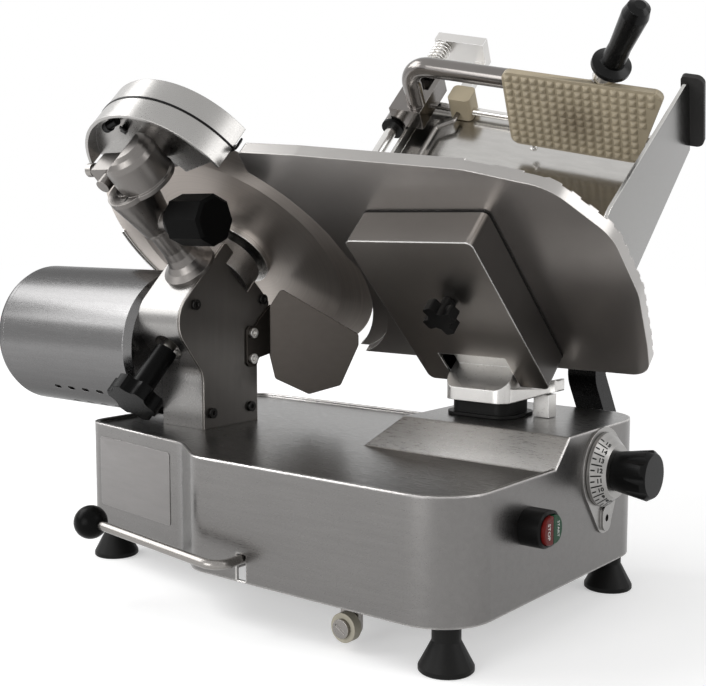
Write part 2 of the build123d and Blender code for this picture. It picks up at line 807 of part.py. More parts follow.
def sharpener_body():
    top = HEAD_S + HEAD_HEIGHT
    r = HEAD_RADIUS
    body = up_slope(
        [
            (0, SLEEVE_START),
            (SLEEVE_LOW_RADIUS, SLEEVE_START),
            (SLEEVE_LOW_RADIUS, SLEEVE_START + 3),
            (SLEEVE_HIGH_RADIUS, HEAD_S - COLLAR_THICKNESS),
            (SLEEVE_HIGH_RADIUS, HEAD_S),
            (0, HEAD_S),
        ],
        SHARP_X,
        SHARP_N,
    )
    head = up_slope(
        [
            (0, HEAD_S - COLLAR_THICKNESS),
            (r + 2, HEAD_S - COLLAR_THICKNESS),
            (r + 2, HEAD_S - 1),
            (r, HEAD_S),
            (r, top - 12),
            (r - 1.5, top - 7),
            (r - 4.5, top - 3),
            (r - 9, top),
            (0, top),
        ],
        HEAD_X,
        HEAD_N,
    )
    step = [
        (HEAD_X - 2 * r, top - HEAD_STEP),
        (HEAD_X - 0.75 * r, top - HEAD_STEP),
        (HEAD_X - 0.35 * r, top - HEAD_STEP + 5),
        (HEAD_X - 0.1 * r, top - 4),
        (HEAD_X + 0.2 * r, top),
        (HEAD_X + 0.2 * r, top + 10),
        (HEAD_X - 2 * r, top + 10),
    ]
    head -= prism(step, HEAD_N - 2 * r, HEAD_N + 2 * r)
    lug_top = top - HEAD_STEP
    lug = box(ARM_END, HEAD_X - r / 2, PIN_S - PIN_RADIUS - 5, lug_top, PIN_N - 11, PIN_N + 11)
    lug = fillet(lug.edges().filter_by(Axis.Z), 4)
    body += head + lug
    body += rod_z(STUB_RADIUS, HEAD_N, HEAD_N + 24, HEAD_X - r - 2, PIN_S + 1)
    body += rod_z(STONE_RADIUS, CAP_WEB_N + CAP_WALL, HEAD_N, HEAD_X, HEAD_S + 14)
    body += rod_x(CLAMP_STEM + 5, SHARP_X, SHARP_X + SLEEVE_HIGH_RADIUS + 5, CLAMP_S, SHARP_N)
    body -= rod_y(SHARP_POST_RADIUS + FIT, SLEEVE_START - 1, SHARP_POST_TOP + 1, SHARP_X, SHARP_N)
    body -= rod_x(PIN_RADIUS + FIT, ARM_END - 1, ARM_END + PIN_LENGTH + PIN_STROKE, PIN_S, PIN_N)
    body -= rod_x(CLAMP_STEM + FIT, SHARP_X, CLAMP_START, CLAMP_S, SHARP_N)
    return body


def sharpener_cap_rear():
    inner = CAP_RADIUS - CAP_WALL
    web = CAP_WEB_N + CAP_WALL
    body = ring_sector(inner, CAP_RADIUS, CAP_SEAM, CAP_N1, CAP_FROM, CAP_TO, CAP_X0, CAP_S)
    body += ring_sector(20, inner, CAP_WEB_N, web, CAP_FROM, CAP_TO, CAP_X0, CAP_S)
    return body


def sharpener_cap_front():
    inner = CAP_RADIUS - CAP_WALL
    body = ring_sector(inner, CAP_RADIUS, CAP_N0, CAP_SEAM, CAP_FROM, CAP_TO, CAP_X0, CAP_S)
    body += ring_sector(52, inner, CAP_N0, CAP_N0 + 2, CAP_FROM, CAP_TO, CAP_X0, CAP_S)
    return body


def grinding_stone():
    return rod_z(STONE_RADIUS, STONE_N, CAP_WEB_N, HEAD_X, HEAD_S - 2)


def deburring_stone():
    return rod_z(STONE_RADIUS - 5, CAP_N0 + 2, CAP_N0 + 9, HEAD_X - 30, HEAD_S + 34)


def sharpener_pin():
    start = ARM_END + PIN_LENGTH - GAP
    pin = rod_x(PIN_RADIUS, ARM_END - PIN_STROKE - 12, start, PIN_S, PIN_N)
    pin += rod_x(PIN_RADIUS + 2.5, ARM_END - PIN_STROKE - 12, ARM_END - PIN_STROKE - 5, PIN_S, PIN_N)
    return pin


def sharpener_knob():
    stem = rod_x(CLAMP_STEM, SHARP_X + SHARP_POST_RADIUS + GAP, CLAMP_START, CLAMP_S, SHARP_N)
    face = Plane(origin=(CLAMP_START, CLAMP_S, SHARP_N), x_dir=(0, 1, 0), z_dir=(1, 0, 0))
    head = face.location * extrude(RegularPolygon(CLAMP_RADIUS, 8), CLAMP_END - CLAMP_START)
    rim = head.faces().filter_by(Axis.X).edges()
    return stem + chamfer(rim, 2.5)


NODES["sharpener_arm"] = on_knife(sharpener_arm())
NODES["sharpener_body"] = on_knife(sharpener_body())
NODES["sharpener_cap_rear"] = on_knife(sharpener_cap_rear())
NODES["sharpener_cap_front"] = on_knife(sharpener_cap_front())
NODES["sharpener_stones"] = on_knife(Compound([grinding_stone(), deburring_stone()]))
NODES["sharpener_pin"] = on_knife(sharpener_pin())
NODES["sharpener_knob"] = on_knife(sharpener_knob())

# Slice deflector: an upright sheet standing off the post on a bent tab
DEFLECTOR_SHEET = 1.6
DEFLECTOR_Y = 43.0
DEFLECTOR_TURN = 30.9


def slice_deflector():
    turn = math.radians(DEFLECTOR_TURN)
    along = (math.cos(turn), math.sin(turn), 0)
    toward = (math.sin(turn), -math.cos(turn), 0)
    face = Plane(origin=(PLATE_X, DEFLECTOR_Y, 0), x_dir=along, z_dir=toward)
    outline = [
        (0, 240),
        (12.5, 259),
        (89.5, 215),
        (89.5, 204),
        (71.7, 164),
        (40, 154.5),
        (6, 169.5),
        (0, 195),
    ]
    return face.location * prism(outline, 0, DEFLECTOR_SHEET, [20, 4, 4, 6, 4, 4, 4, 20])


def deflector_bracket():
    y1 = DEFLECTOR_Y
    outline = [(9, 184), (22, 184), (26, 192), (y1, 195), (y1, 243), (26, 229), (22, 224), (9, 224)]
    tab = prism_x(outline, PLATE_X, PLATE_X + BRACKET_SHEET, [5, 4, 3, 0, 0, 6, 4, 5])
    for y, z in BRACKET_HOLES:
        tab -= rod_x(2.5, PLATE_X - 1, PLATE_X + BRACKET_SHEET + 1, y, z)
    return tab


NODES["slice_deflector"] = slice_deflector() + deflector_bracket()

# Gauge plate, its box, block and slide
GAUGE_N0 = 9.0
GAUGE_N1 = 21.0
GAUGE_ARC = KNIFE_RADIUS + 6.0
LIP_THICKNESS = 4.0
STEP_ARC = 102.3
STEP_ARC_X = 66.2
STEP_ARC_S = -29.5
RIB_COUNT = 17
RIB_START = -118.0
RIB_PITCH = 14.0
RIB_WIDTH = 7.0
RIB_DEPTH = 1.6
BOX_X0 = 208.0
BOX_X1 = 332.0
BOX_S0 = -109.0
BOX_S1 = 70.0
BOX_DEPTH = 35.0
BOX_SHEET = 2.5
BLOCK_X0 = 90.0
BLOCK_X1 = 154.0
BLOCK_Y0 = 40.0
BLOCK_Y1 = 95.0
BOOT_HEIGHT = 14.5
BLOCK_Z0 = PLATFORM_HEIGHT + BOOT_HEIGHT
BLOCK_DROP = 119.0
BLOCK_RISE = 0.9
BLOCK_CORNER = 12.0
WING_THICKNESS = 12.0
WING_REACH = 31.0
SKIRT = 5.0
STAR_X = 280.0
STAR_S = 0.0
STAR_RADIUS = 16.0
CAM_RADIUS = 27.0
CAM_LENGTH = 10.0
CAM_PIN = 15.0
PIN_CLEAR = 0.35
FOLLOWER_RADIUS = 3.0
INDEX_SWEEP = 300.0
SLIDER_X1 = GUIDE_X + 13
CAM_X0 = SLIDER_X1 + GAP


def gauge_plate():
    outline = [
        (112, 140),
        (172, 134),
        (326, 113),
        (393, 92),
        (427, 42),
        (428, -22),
        (416, -84),
        (406, -124),
        (80, -124),
        (80, -112),
    ]
    body = prism(outline, GAUGE_N0, GAUGE_N1, [4, 40, 60, 45, 45, 60, 40, 22, 8, 1])
    body -= rod_z(GAUGE_ARC, GAUGE_N0 - 1, GAUGE_N1 + 1)
    step = rod_z(STEP_ARC, GAUGE_N0 + LIP_THICKNESS, GAUGE_N1 + 1, STEP_ARC_X, STEP_ARC_S)
    step += rod_z(GAUGE_ARC + 4, GAUGE_N0 + LIP_THICKNESS, GAUGE_N1 + 1)
    body -= step
    for i in range(RIB_COUNT):
        s = RIB_START + RIB_PITCH * i
        body -= box(60, 450, s, s + RIB_WIDTH, GAUGE_N0 - 1, GAUGE_N0 + RIB_DEPTH)
    return body


def gauge_box():
    top = GAUGE_N1 + BOX_DEPTH
    outer = [(BOX_X0, BOX_S0), (BOX_X1, BOX_S0), (BOX_X1, BOX_S1), (BOX_X0, BOX_S1)]
    t = BOX_SHEET
    inner = [(BOX_X0 + t, BOX_S0 + t), (BOX_X1 - t, BOX_S0 + t), (BOX_X1 - t, BOX_S1 - t), (BOX_X0 + t, BOX_S1 - t)]
    body = prism(outer, GAUGE_N1, top, [6, 6, 6, 6])
    body -= prism(inner, GAUGE_N1 - 1, top - t, [4, 4, 4, 4])
    body -= box(BLOCK_X0 - KNIFE_X - 2, BLOCK_X1 - KNIFE_X + 2, BOX_S0 - 1, BOX_S0 + 38, GAUGE_N1 - 1, top + 1)
    body -= rod_z(5, GAUGE_N1, top + 1, STAR_X, STAR_S)
    return body


def gauge_block():
    z1 = KNIFE_Z - BLOCK_DROP
    depth = BLOCK_Y1 - BLOCK_Y0
    body = box(BLOCK_X0, BLOCK_X1, BLOCK_Y0, BLOCK_Y1, BLOCK_Z0, z1 + BLOCK_RISE * depth)
    body = fillet(body.edges().filter_by(Axis.Z), BLOCK_CORNER)
    slope = [
        (BLOCK_Y0 - 1, z1 - BLOCK_RISE),
        (BLOCK_Y1 + 1, z1 + BLOCK_RISE * (depth + 1)),
        (BLOCK_Y1 + 1, z1 + BLOCK_RISE * depth + 99),
        (BLOCK_Y0 - 1, z1 + 99),
    ]
    body -= prism_x(slope, BLOCK_X0 - 1, BLOCK_X1 + 1)
    end = BLOCK_X1 + WING_REACH
    t = WING_THICKNESS
    root = BLOCK_X1 - 25
    y0 = BLOCK_Y0 + 10
    y1 = BLOCK_Y1 - 4
    rise = [
        (root, BLOCK_Z0),
        (BLOCK_X1, BLOCK_Z0),
        (end - 9, BLOCK_Z0 + 0.67 * t),
        (end, BLOCK_Z0 + 0.83 * t),
        (end, BLOCK_Z0 + 1.67 * t),
        (end - 5, BLOCK_Z0 + 1.67 * t),
        (end - 8, BLOCK_Z0 + t),
        (root, BLOCK_Z0 + t),
    ]
    plan = [(root, y0), (BLOCK_X1, y0), (end - 7, y1 - 17), (end, y1 - 15), (end, y1), (root, y1)]
    side = Plane(origin=(0, BLOCK_Y1, 0), x_dir=(1, 0, 0), z_dir=(0, -1, 0))
    wing = side.location * prism(rise, 0, BLOCK_Y1 - BLOCK_Y0, [0, 20, 3, 2, 2, 2, 3, 0])
    body += wing & prism(plan, BLOCK_Z0 - 1, BLOCK_Z0 + 3 * t, [0, 8, 8, 3, 3, 0])
    body += box(BLOCK_X1 + 7, BLOCK_X1 + 22, BLOCK_Y1 - 17, BLOCK_Y1 - 4, PLATFORM_HEIGHT + GAP, BLOCK_Z0 + t / 2)
    pad = box(BLOCK_X0 - KNIFE_X + 4, BLOCK_X1 - KNIFE_X - 4, BOX_S0 + 4, BOX_S0 + 49, GAUGE_N1, GAUGE_N1 + 25)
    body += on_knife(pad)
    return body - on_knife(box(0, 500, -300, 300, GAUGE_N1 - 200, GAUGE_N1))


def gauge_star():
    top = GAUGE_N1 + BOX_DEPTH
    r = STAR_RADIUS
    head = rod_z(r * 0.6, top + 10, top + 22)
    bar = box(-r, r, -r * 0.32, r * 0.32, top + 11, top + 22)
    bar = fillet(bar.edges().filter_by(Axis.Z), r * 0.14)
    for turn in (20, 110):
        head += Rot(0, 0, turn) * bar
    stem = rod_z(r * 0.4, top + GAP, top + 11) + rod_z(5 - FIT, GAUGE_N1 + 2, top + 1)
    return Pos(STAR_X, STAR_S, 0) * (head + stem)


def gauge_bellows():
    x0 = BLOCK_X0 + 2
    x1 = BLOCK_X1 - 4
    y0 = BLOCK_Y0 + 8
    bottom = PLATFORM_HEIGHT + GAP
    lip = bottom + 0.18 * BOOT_HEIGHT
    body = box(x0, x1, y0, BLOCK_Y1, bottom, BLOCK_Z0)
    body = fillet(body.edges().filter_by(Axis.Z), BLOCK_CORNER)
    skirt = box(x0 - SKIRT, x1 + SKIRT, y0 - SKIRT, BLOCK_Y1 + SKIRT, bottom, lip)
    body += fillet(skirt.edges().filter_by(Axis.Z), BLOCK_CORNER + SKIRT)
    return body - box(GUIDE_X - NECK_WIDTH / 2, GUIDE_X + NECK_WIDTH / 2, NECK_Y0, NECK_Y1, 0, BLOCK_Z0 + 1)


def gauge_slider():
    half = NECK_WIDTH / 2
    body = box(GUIDE_X - half, GUIDE_X + half, NECK_Y0, NECK_Y1, GUIDE_Z, BLOCK_Z0)
    body += box(GUIDE_X - 13, SLIDER_X1, INDEX_Y - CAM_PIN - 5, NECK_Y1 + 8, GUIDE_Z - 14, INDEX_Z + 8)
    body -= rod_y(GUIDE_RADIUS + FIT, 0, BASE_DEPTH, GUIDE_X, GUIDE_Z)
    body += rod_x(FOLLOWER_RADIUS, SLIDER_X1 - 1, CAM_X0 + 5, INDEX_Y - CAM_PIN, INDEX_Z)
    return body


def scroll_cam():
    travel = GAUGE_OPEN + GAUGE_CLOSE
    first = -INDEX_SWEEP * GAUGE_OPEN / travel
    steps = 40
    points = []
    for i in range(-2, steps + 3):
        turn = first + INDEX_SWEEP * i / steps
        r = CAM_PIN - travel * turn / INDEX_SWEEP
        a = math.radians(180 - turn)
        points.append((r * math.cos(a), r * math.sin(a)))
    groove = extrude(trace(Spline(*points), 2 * (FOLLOWER_RADIUS + PIN_CLEAR)), 6)
    for x, y in (points[0], points[-1]):
        groove += rod_z(FOLLOWER_RADIUS + PIN_CLEAR, 0, 6, x, y)
    body = rod_z(CAM_RADIUS, 0, CAM_LENGTH) - Pos(0, 0, -0.001) * groove
    face = Plane(origin=(CAM_X0, INDEX_Y, INDEX_Z), x_dir=(0, 1, 0), z_dir=(1, 0, 0))
    return face.location * body


def guide_rod():
    return rod_y(GUIDE_RADIUS, PLATFORM_FRONT + 5, REAR_Y - WALL, GUIDE_X, GUIDE_Z)


def guide_hanger():
    body = box(GUIDE_X - 13, GUIDE_X + 13, PLATFORM_FRONT + 5, PLATFORM_FRONT + 15, GUIDE_Z - 13, PLATFORM_HEIGHT - WALL)
    return body - rod_y(GUIDE_RADIUS, 0, REAR_Y, GUIDE_X, GUIDE_Z)


NODES["gauge_plate"] = on_knife(gauge_plate())
NODES["gauge_box"] = on_knife(gauge_box())
NODES["gauge_block"] = gauge_block()
NODES["gauge_star_knob"] = on_knife(gauge_star())
NODES["gauge_bellows"] = gauge_bellows()
NODES["gauge_slider"] = gauge_slider()


# Thickness dial, lock plate and switch on the right face
DIAL_X = SIDE_X + DIAL_PLATE + GAP
KNOB_X = DIAL_X + DIAL_LENGTH


def on_right_face(shape, y, z, x=SIDE_X):
    return Plane(origin=(x, y, z), x_dir=(0, 1, 0), z_dir=(1, 0, 0)).location * shape


def index_bush():
    body = rod_x(INDEX_BUSH_RADIUS, SIDE_X - WALL, SIDE_X + DIAL_PLATE, INDEX_Y, INDEX_Z)
    body += rod_x(INDEX_BUSH_RADIUS + 5, SIDE_X - WALL - 6, SIDE_X - WALL, INDEX_Y, INDEX_Z)
    return body - rod_x(INDEX_SHAFT_RADIUS + FIT, SIDE_X - 40, SIDE_X + 40, INDEX_Y, INDEX_Z)


def dial_plate():
    r = DIAL_RADIUS + 4
    drop = LOCK_Z - INDEX_Z
    side = LOCK_Y - INDEX_Y
    tip = 13
    reach = math.hypot(drop, side)
    lean = math.atan2(drop, side)
    swing = math.acos((r - tip) / reach)
    points = []
    for a in (lean + swing, lean - swing):
        points.append((r * math.cos(a), r * math.sin(a)))
        points.append((side + tip * math.cos(a), drop + tip * math.sin(a)))
    outline = [points[0], points[1], points[3], points[2]]
    body = rod_z(r, 0, DIAL_PLATE) + rod_z(tip, 0, DIAL_PLATE, side, drop) + prism(outline, 0, DIAL_PLATE)
    body -= rod_z(INDEX_BUSH_RADIUS, -1, DIAL_PLATE + 1)
    body -= rod_z(3.0, -1, DIAL_PLATE + 1, side, drop)
    return on_right_face(body, INDEX_Y, INDEX_Z)


def lock_plate():
    body = extrude(SlotOverall(22, 14, rotation=90), 2.5) - rod_z(3.0, -1, 4)
    return on_right_face(body, LOCK_Y, LOCK_Z, SIDE_X + DIAL_PLATE)


def index_shaft():
    return rod_x(INDEX_SHAFT_RADIUS, CAM_X0 + CAM_LENGTH, KNOB_X + INDEX_KNOB_LENGTH / 2, INDEX_Y, INDEX_Z)


def index_dial():
    body = turned(
        [
            (INDEX_SHAFT_RADIUS, 0),
            (DIAL_RADIUS, 0),
            (DIAL_RADIUS, 3),
            (DIAL_TOP_RADIUS, DIAL_LENGTH),
            (INDEX_SHAFT_RADIUS, DIAL_LENGTH),
        ]
    )
    return on_right_face(body, INDEX_Y, INDEX_Z, DIAL_X)


def index_knob():
    r = INDEX_KNOB_RADIUS
    length = INDEX_KNOB_LENGTH
    body = turned([(0, 0), (r * 0.78, 0), (r, length - 4), (r - 3, length), (0, length)])
    for x, y in screw_spots(8, r * 1.18):
        body -= rod_z(r * 0.3, 4, length + 1, x, y)
    body -= rod_z(INDEX_SHAFT_RADIUS, -1, length / 2)
    return on_right_face(body, INDEX_Y, INDEX_Z, KNOB_X)


def switch_body():
    body = extrude(RectangleRounded(SWITCH_WIDTH, SWITCH_HEIGHT, SWITCH_HEIGHT * 0.46), SWITCH_DEPTH)
    rim = body.faces().sort_by(Axis.Z)[-1].edges()
    body = chamfer(rim, 1.2)
    body -= Pos(0, 0, SWITCH_DEPTH - 11) * extrude(button_outline(0), 12)
    body += box(-SWITCH_NECK / 2, SWITCH_NECK / 2, -SWITCH_NECK / 2, SWITCH_NECK / 2, -18, 0)
    return on_right_face(body, SWITCH_Y, SWITCH_Z)


def button_outline(inset):
    w = SWITCH_WIDTH - 5 - 2 * inset
    h = SWITCH_HEIGHT - 5 - 2 * inset
    return RectangleRounded(w, h, h * 0.46)


def button(side):
    rear = SWITCH_DEPTH - 11 + BUTTON_STROKE + GAP
    front = SWITCH_DEPTH + BUTTON_PROUD
    body = Pos(0, 0, rear) * extrude(button_outline(GAP), front - rear)
    rim = body.faces().sort_by(Axis.Z)[-1].edges()
    body = chamfer(rim, 0.8)
    keep = box(GAP, SWITCH_WIDTH, -SWITCH_HEIGHT, SWITCH_HEIGHT, -1, SWITCH_DEPTH * 2)
    if side < 0:
        keep = Rot(0, 0, 180) * keep
    return on_right_face(body & keep, SWITCH_Y, SWITCH_Z)


NODES["dial_plate"] = dial_plate() + index_bush() + lock_plate()
NODES["index_shaft"] = index_shaft() + scroll_cam()
NODES["index_dial"] = index_dial()
NODES["index_knob"] = index_knob()
NODES["switch_body"] = switch_body()
NODES["stop_button"] = button(-1)
NODES["start_button"] = button(1)


# Lift lever and its roller under the front edge
def lift_lever():
    bar_half = 6.0
    y0 = LEVER_BAR_Y
    y1 = LEVER_BAR_Y + LEVER_BAR
    body = box(LEVER_SLOT_X - 6, LEVER_PIVOT_X, y0, y1, LEVER_PIVOT_Z - bar_half, LEVER_PIVOT_Z + bar_half)
    body += rod_y(bar_half + 4, y0, y1, LEVER_PIVOT_X, LEVER_PIVOT_Z)
    body += box(ROLLER_X - 9, ROLLER_X + 9, y0, y1, ROLLER_Z, LEVER_PIVOT_Z)
    body += rod_y(9, y0, y1, ROLLER_X, ROLLER_Z)
    path = FilletPolyline(
        (LEVER_SLOT_X, y0 + 1, LEVER_PIVOT_Z),
        (LEVER_SLOT_X, BALL_Y, LEVER_PIVOT_Z),
        (BALL_X + 4, BALL_Y, BALL_Z),
        radius=14,
    )
    start = Plane(origin=path @ 0, z_dir=path % 0)
    body += sweep(start * Circle(LEVER_ROD_RADIUS), path)
    body -= rod_y(5 + FIT, y0 - 1, y1 + 1, LEVER_PIVOT_X, LEVER_PIVOT_Z)
    body -= rod_y(4, y0 - 1, y1 + 1, ROLLER_X, ROLLER_Z)
    return body


NODES["lift_lever"] = lift_lever()
NODES["lever_ball"] = Pos(BALL_X, BALL_Y, BALL_Z) * Sphere(BALL_RADIUS) - NODES["lift_lever"]
pivot = rod_y(5, -REAR_Y + WALL, LEVER_BAR_Y + LEVER_BAR + 2, LEVER_PIVOT_X, LEVER_PIVOT_Z)
pivot += rod_y(9, -REAR_Y + WALL, LEVER_BAR_Y - GAP, LEVER_PIVOT_X, LEVER_PIVOT_Z)
NODES["base_housing"] = base_housing() + guide_hanger() + pivot
roller_y1 = LEVER_BAR_Y - GAP
roller_y0 = roller_y1 - ROLLER_LENGTH
roller = rod_y(ROLLER_RADIUS, roller_y0, roller_y1, ROLLER_X, ROLLER_Z)
NODES["lift_roller"] = roller - rod_y(4 + FIT, roller_y0 - 1, roller_y1 + 1, ROLLER_X, ROLLER_Z)
screw = rod_y(4, roller_y0 - GAP, LEVER_BAR_Y + LEVER_BAR, ROLLER_X, ROLLER_Z)
screw += rod_y(7.5, roller_y0 - GAP - 3, roller_y0 - GAP, ROLLER_X, ROLLER_Z)
screw -= Pos(ROLLER_X, roller_y0 - GAP - 3, ROLLER_Z) * Rot(0, 30, 0) * Box(11, 2.4, 1.6)
NODES["roller_screw"] = screw


# Carriage rails, bearing and arm
def slide_rails():
    x0 = -SIDE_X + WALL
    x1 = SIDE_X - WALL
    main = rod_x(RAIL_RADIUS, x0, x1, RAIL_Y, RAIL_Z)
    guard = rod_x(GUARD_RAIL_RADIUS, x0, x1, GUARD_RAIL_Y, RAIL_Z)
    return Compound([main, guard, guide_rod()])


BEARING_X0 = ARM_X - 52
BEARING_X1 = ARM_X + 18
BEARING_Y1 = RAIL_Y + 18


def carriage_bearing():
    body = box(BEARING_X0, BEARING_X1, GUARD_RAIL_Y - 12, BEARING_Y1, RAIL_Z - 12, RAIL_Z + 12)
    body -= rod_x(RAIL_RADIUS + FIT, BEARING_X0 - 1, BEARING_X1 + 1, RAIL_Y, RAIL_Z)
    body -= rod_x(GUARD_RAIL_RADIUS + FIT, BEARING_X0 - 1, BEARING_X1 + 1, GUARD_RAIL_Y, RAIL_Z)
    return body


# Carriage pieces in the tray frame: x along the floor, y off the floor, z to the slice side
TRAY_X0 = 104.0
TRAY_X1 = 380.0
TRAY_LOW = 14.0
TRAY_HIGH = 232.0
TRAY_SHEET = 3.0
WALL_LOW = 125.0
WALL_HIGH = 83.0
LIP_HEIGHT = 12.0
ROD_X = 90.0
ROD_Y = 10.0
ROD_RADIUS = 6.0
ROD_TOP = 322.0
STOP_LENGTH = 12.0
BRACKET_X = 137.0
BRACKET_WIDTH = 12.0
LUG_LOW = 20.0
LUG_LENGTH = 12.0
SLEEVE_LOW = 184.0
SLEEVE_HIGH = 229.0
SLEEVE_OUTER = 12.0
BUSH_RADIUS = 8.5
BUSH_FLANGE = 3.0
SPRING_RADIUS = 9.0
SPRING_WIRE = 1.1
SPRING_PITCH = 4.6
SPRING_TURNS = 5
TUBE_FOOT = 36.0
TUBE_RADIUS = 9.5
TUBE_X = 115.0
TUBE_Y = 85.0
TUBE_T = 197.5
TUBE_END = 308.0
HANDLE_LEAN = 23.0
FERRULE_WALL = 2.5
PLATE_T0 = 184.0
PLATE_T1 = 190.0
STUD_PITCH = 14.0
STUD_HEIGHT = 5.0
FENCE_T = 226.0
FENCE_ROD_Y = 8.0
FENCE_ROD_RADIUS = 4.0
FENCE_X0 = 137.0
FENCE_X1 = 161.0
WIRE_RADIUS = 2.5
ARM_ELBOW_Y = 216.0
ARM_ELBOW_Z = 246.0
ARM_TOP_Y = 150.0
ARM_TOP_Z = 312.0


def on_tray(shape):
    return TRAY.location * shape


def carriage_arm():
    path = FilletPolyline(
        (BEARING_Y1, RAIL_Z),
        (REAR_Y + 36, RAIL_Z),
        (REAR_Y + 32, RAIL_Z + 74),
        (REAR_Y, RAIL_Z + 126),
        (ARM_ELBOW_Y, ARM_ELBOW_Z),
        (ARM_TOP_Y, ARM_TOP_Z),
        radius=[22, 30, 16, 34],
    )
    section = Plane(origin=(ARM_X - ARM_WIDTH / 2, 0, 0), x_dir=(0, 1, 0), z_dir=(1, 0, 0))
    body = section.location * extrude(trace(path, ARM_THICKNESS), ARM_WIDTH)
    body += on_tray(box(318, 372, -TRAY_SHEET - 6, -TRAY_SHEET, -130, -78))
    return body - on_tray(box(0, 500, -TRAY_SHEET, 300, -500, 100))


def carriage_tray():
    body = box(TRAY_X0, TRAY_X1, -TRAY_SHEET, 0, -TRAY_HIGH, -TRAY_LOW)
    end = [(-TRAY_SHEET, -TRAY_LOW), (WALL_LOW, -TRAY_LOW), (WALL_HIGH, -TRAY_HIGH), (-TRAY_SHEET, -TRAY_HIGH)]
    body += prism_x(end, TRAY_X1 - TRAY_SHEET, TRAY_X1, [0, 18, 14, 0])
    body += box(TRAY_X0, TRAY_X0 + TRAY_SHEET, -TRAY_SHEET, LIP_HEIGHT, -TRAY_HIGH, -TRAY_LOW)
    body += box(ROD_X - 11, TRAY_X0, -TRAY_SHEET, ROD_Y + 11, -LUG_LOW - LUG_LENGTH, -LUG_LOW)
    body -= rod_z(ROD_RADIUS, -LUG_LOW - LUG_LENGTH - 1, -LUG_LOW + 1, ROD_X, ROD_Y)
    return body


def corner_guard():
    x0 = TRAY_X1 - 8
    x1 = TRAY_X1 + 13
    return prism([(x0, 2), (x1, 2), (x1, WALL_HIGH + 2), (x0, WALL_HIGH + 2)], -TRAY_HIGH - 5, -TRAY_HIGH, [4, 8, 8, 4])


def pusher_bracket():
    low = ROD_TOP - STOP_LENGTH
    x1 = BRACKET_X
    x0 = x1 - BRACKET_WIDTH
    body = box(ROD_X - 9, x1, -TRAY_SHEET - 9, ROD_Y + 10, -ROD_TOP, -low)
    body += box(x0, x1, -TRAY_SHEET - 9, -TRAY_SHEET, -low, -TRAY_HIGH + 26)
    return body - rod_z(ROD_RADIUS, -ROD_TOP - 1, -low + 1, ROD_X, ROD_Y)


def pusher_bush():
    low = SLEEVE_LOW - GAP - BUSH_FLANGE
    high = SLEEVE_HIGH + GAP + BUSH_FLANGE
    body = rod_z(BUSH_RADIUS, -high, -low, ROD_X, ROD_Y)
    body += rod_z(SLEEVE_OUTER, -low - BUSH_FLANGE, -low, ROD_X, ROD_Y)
    body += rod_z(SLEEVE_OUTER, -high, -high + BUSH_FLANGE, ROD_X, ROD_Y)
    return body - rod_z(ROD_RADIUS + FIT, -high - 1, -low + 1, ROD_X, ROD_Y)


def pusher_sleeve():
    body = rod_z(SLEEVE_OUTER, -SLEEVE_HIGH, -SLEEVE_LOW, ROD_X, ROD_Y)
    body += box(ROD_X, TUBE_X + TUBE_RADIUS, LIP_HEIGHT + 2, TUBE_FOOT, -SLEEVE_HIGH - 14, -SLEEVE_LOW)
    body -= box(ROD_X + 14, TUBE_X + 4, LIP_HEIGHT, TUBE_FOOT + 1, -SLEEVE_HIGH - 6, -SLEEVE_HIGH + 12)
    body -= rod_z(BUSH_RADIUS + FIT, -SLEEVE_HIGH - 20, -SLEEVE_LOW + 1, ROD_X, ROD_Y)
    body -= rod_z(SLEEVE_OUTER + GAP, -SLEEVE_HIGH - 20, -SLEEVE_HIGH, ROD_X, ROD_Y)
    return body


def pusher_spring():
    top = ROD_TOP - STOP_LENGTH - SPRING_WIRE
    length = SPRING_TURNS * SPRING_PITCH
    quarters = 4 * SPRING_TURNS
    rise = SPRING_PITCH / (2 * math.pi)

    def spot(i):
        a = math.pi / 2 * i
        return Vector(
            ROD_X + SPRING_RADIUS * math.cos(a),
            ROD_Y + SPRING_RADIUS * math.sin(a),
            -top + length * i / quarters,
        )

    def heading(i):
        a = math.pi / 2 * i
        return Vector(-SPRING_RADIUS * math.sin(a), SPRING_RADIUS * math.cos(a), rise).normalized()

    arcs = []
    for i in range(quarters):
        p0 = spot(i)
        p1 = spot(i + 1)
        t0 = heading(i)
        t1 = heading(i + 1)
        v = p1 - p0
        t = t0 + t1
        k = 2 * (1 - t0.dot(t1))
        d = (-v.dot(t) + math.sqrt(v.dot(t) ** 2 + k * v.dot(v))) / k
        joint = (p0 + p1 + (t0 - t1) * d) * 0.5
        first = TangentArc(p0, joint, tangent=t0)
        arcs.append(first)
        arcs.append(TangentArc(joint, p1, tangent=first % 1))
    path = Wire([edge for arc in arcs for edge in arc.edges()])
    samples = [path @ (i / (48 * SPRING_TURNS)) for i in range(48 * SPRING_TURNS + 1)]
    gap = min((a - b).length for i, a in enumerate(samples) for b in samples[i + 24 :]) - 2 * SPRING_WIRE
    print("pusher_spring least gap", round(gap, 2))
    start = Plane(origin=path @ 0, z_dir=path % 0)
    return sweep(start * Circle(SPRING_WIRE), path)


def tube_path():
    lean = math.radians(HANDLE_LEAN)
    rise = 34
    return FilletPolyline(
        (TUBE_X, TUBE_FOOT - 6, -TUBE_T),
        (TUBE_X, TUBE_Y, -TUBE_T),
        (TUBE_END, TUBE_Y, -TUBE_T),
        (TUBE_END + rise * math.sin(lean), TUBE_Y + rise * math.cos(lean), -TUBE_T),
        radius=[24, 20],
    )


def pusher_tube():
    path = tube_path()
    start = Plane(origin=path @ 0, z_dir=path % 0)
    return sweep(start * Circle(TUBE_RADIUS), path)


def on_handle(points):
    lean = math.radians(HANDLE_LEAN)
    axis = Plane(origin=(TUBE_END, TUBE_Y, -TUBE_T), x_dir=(0, 0, 1), z_dir=(math.sin(lean), math.cos(lean), 0))
    return axis.location * turned(points)


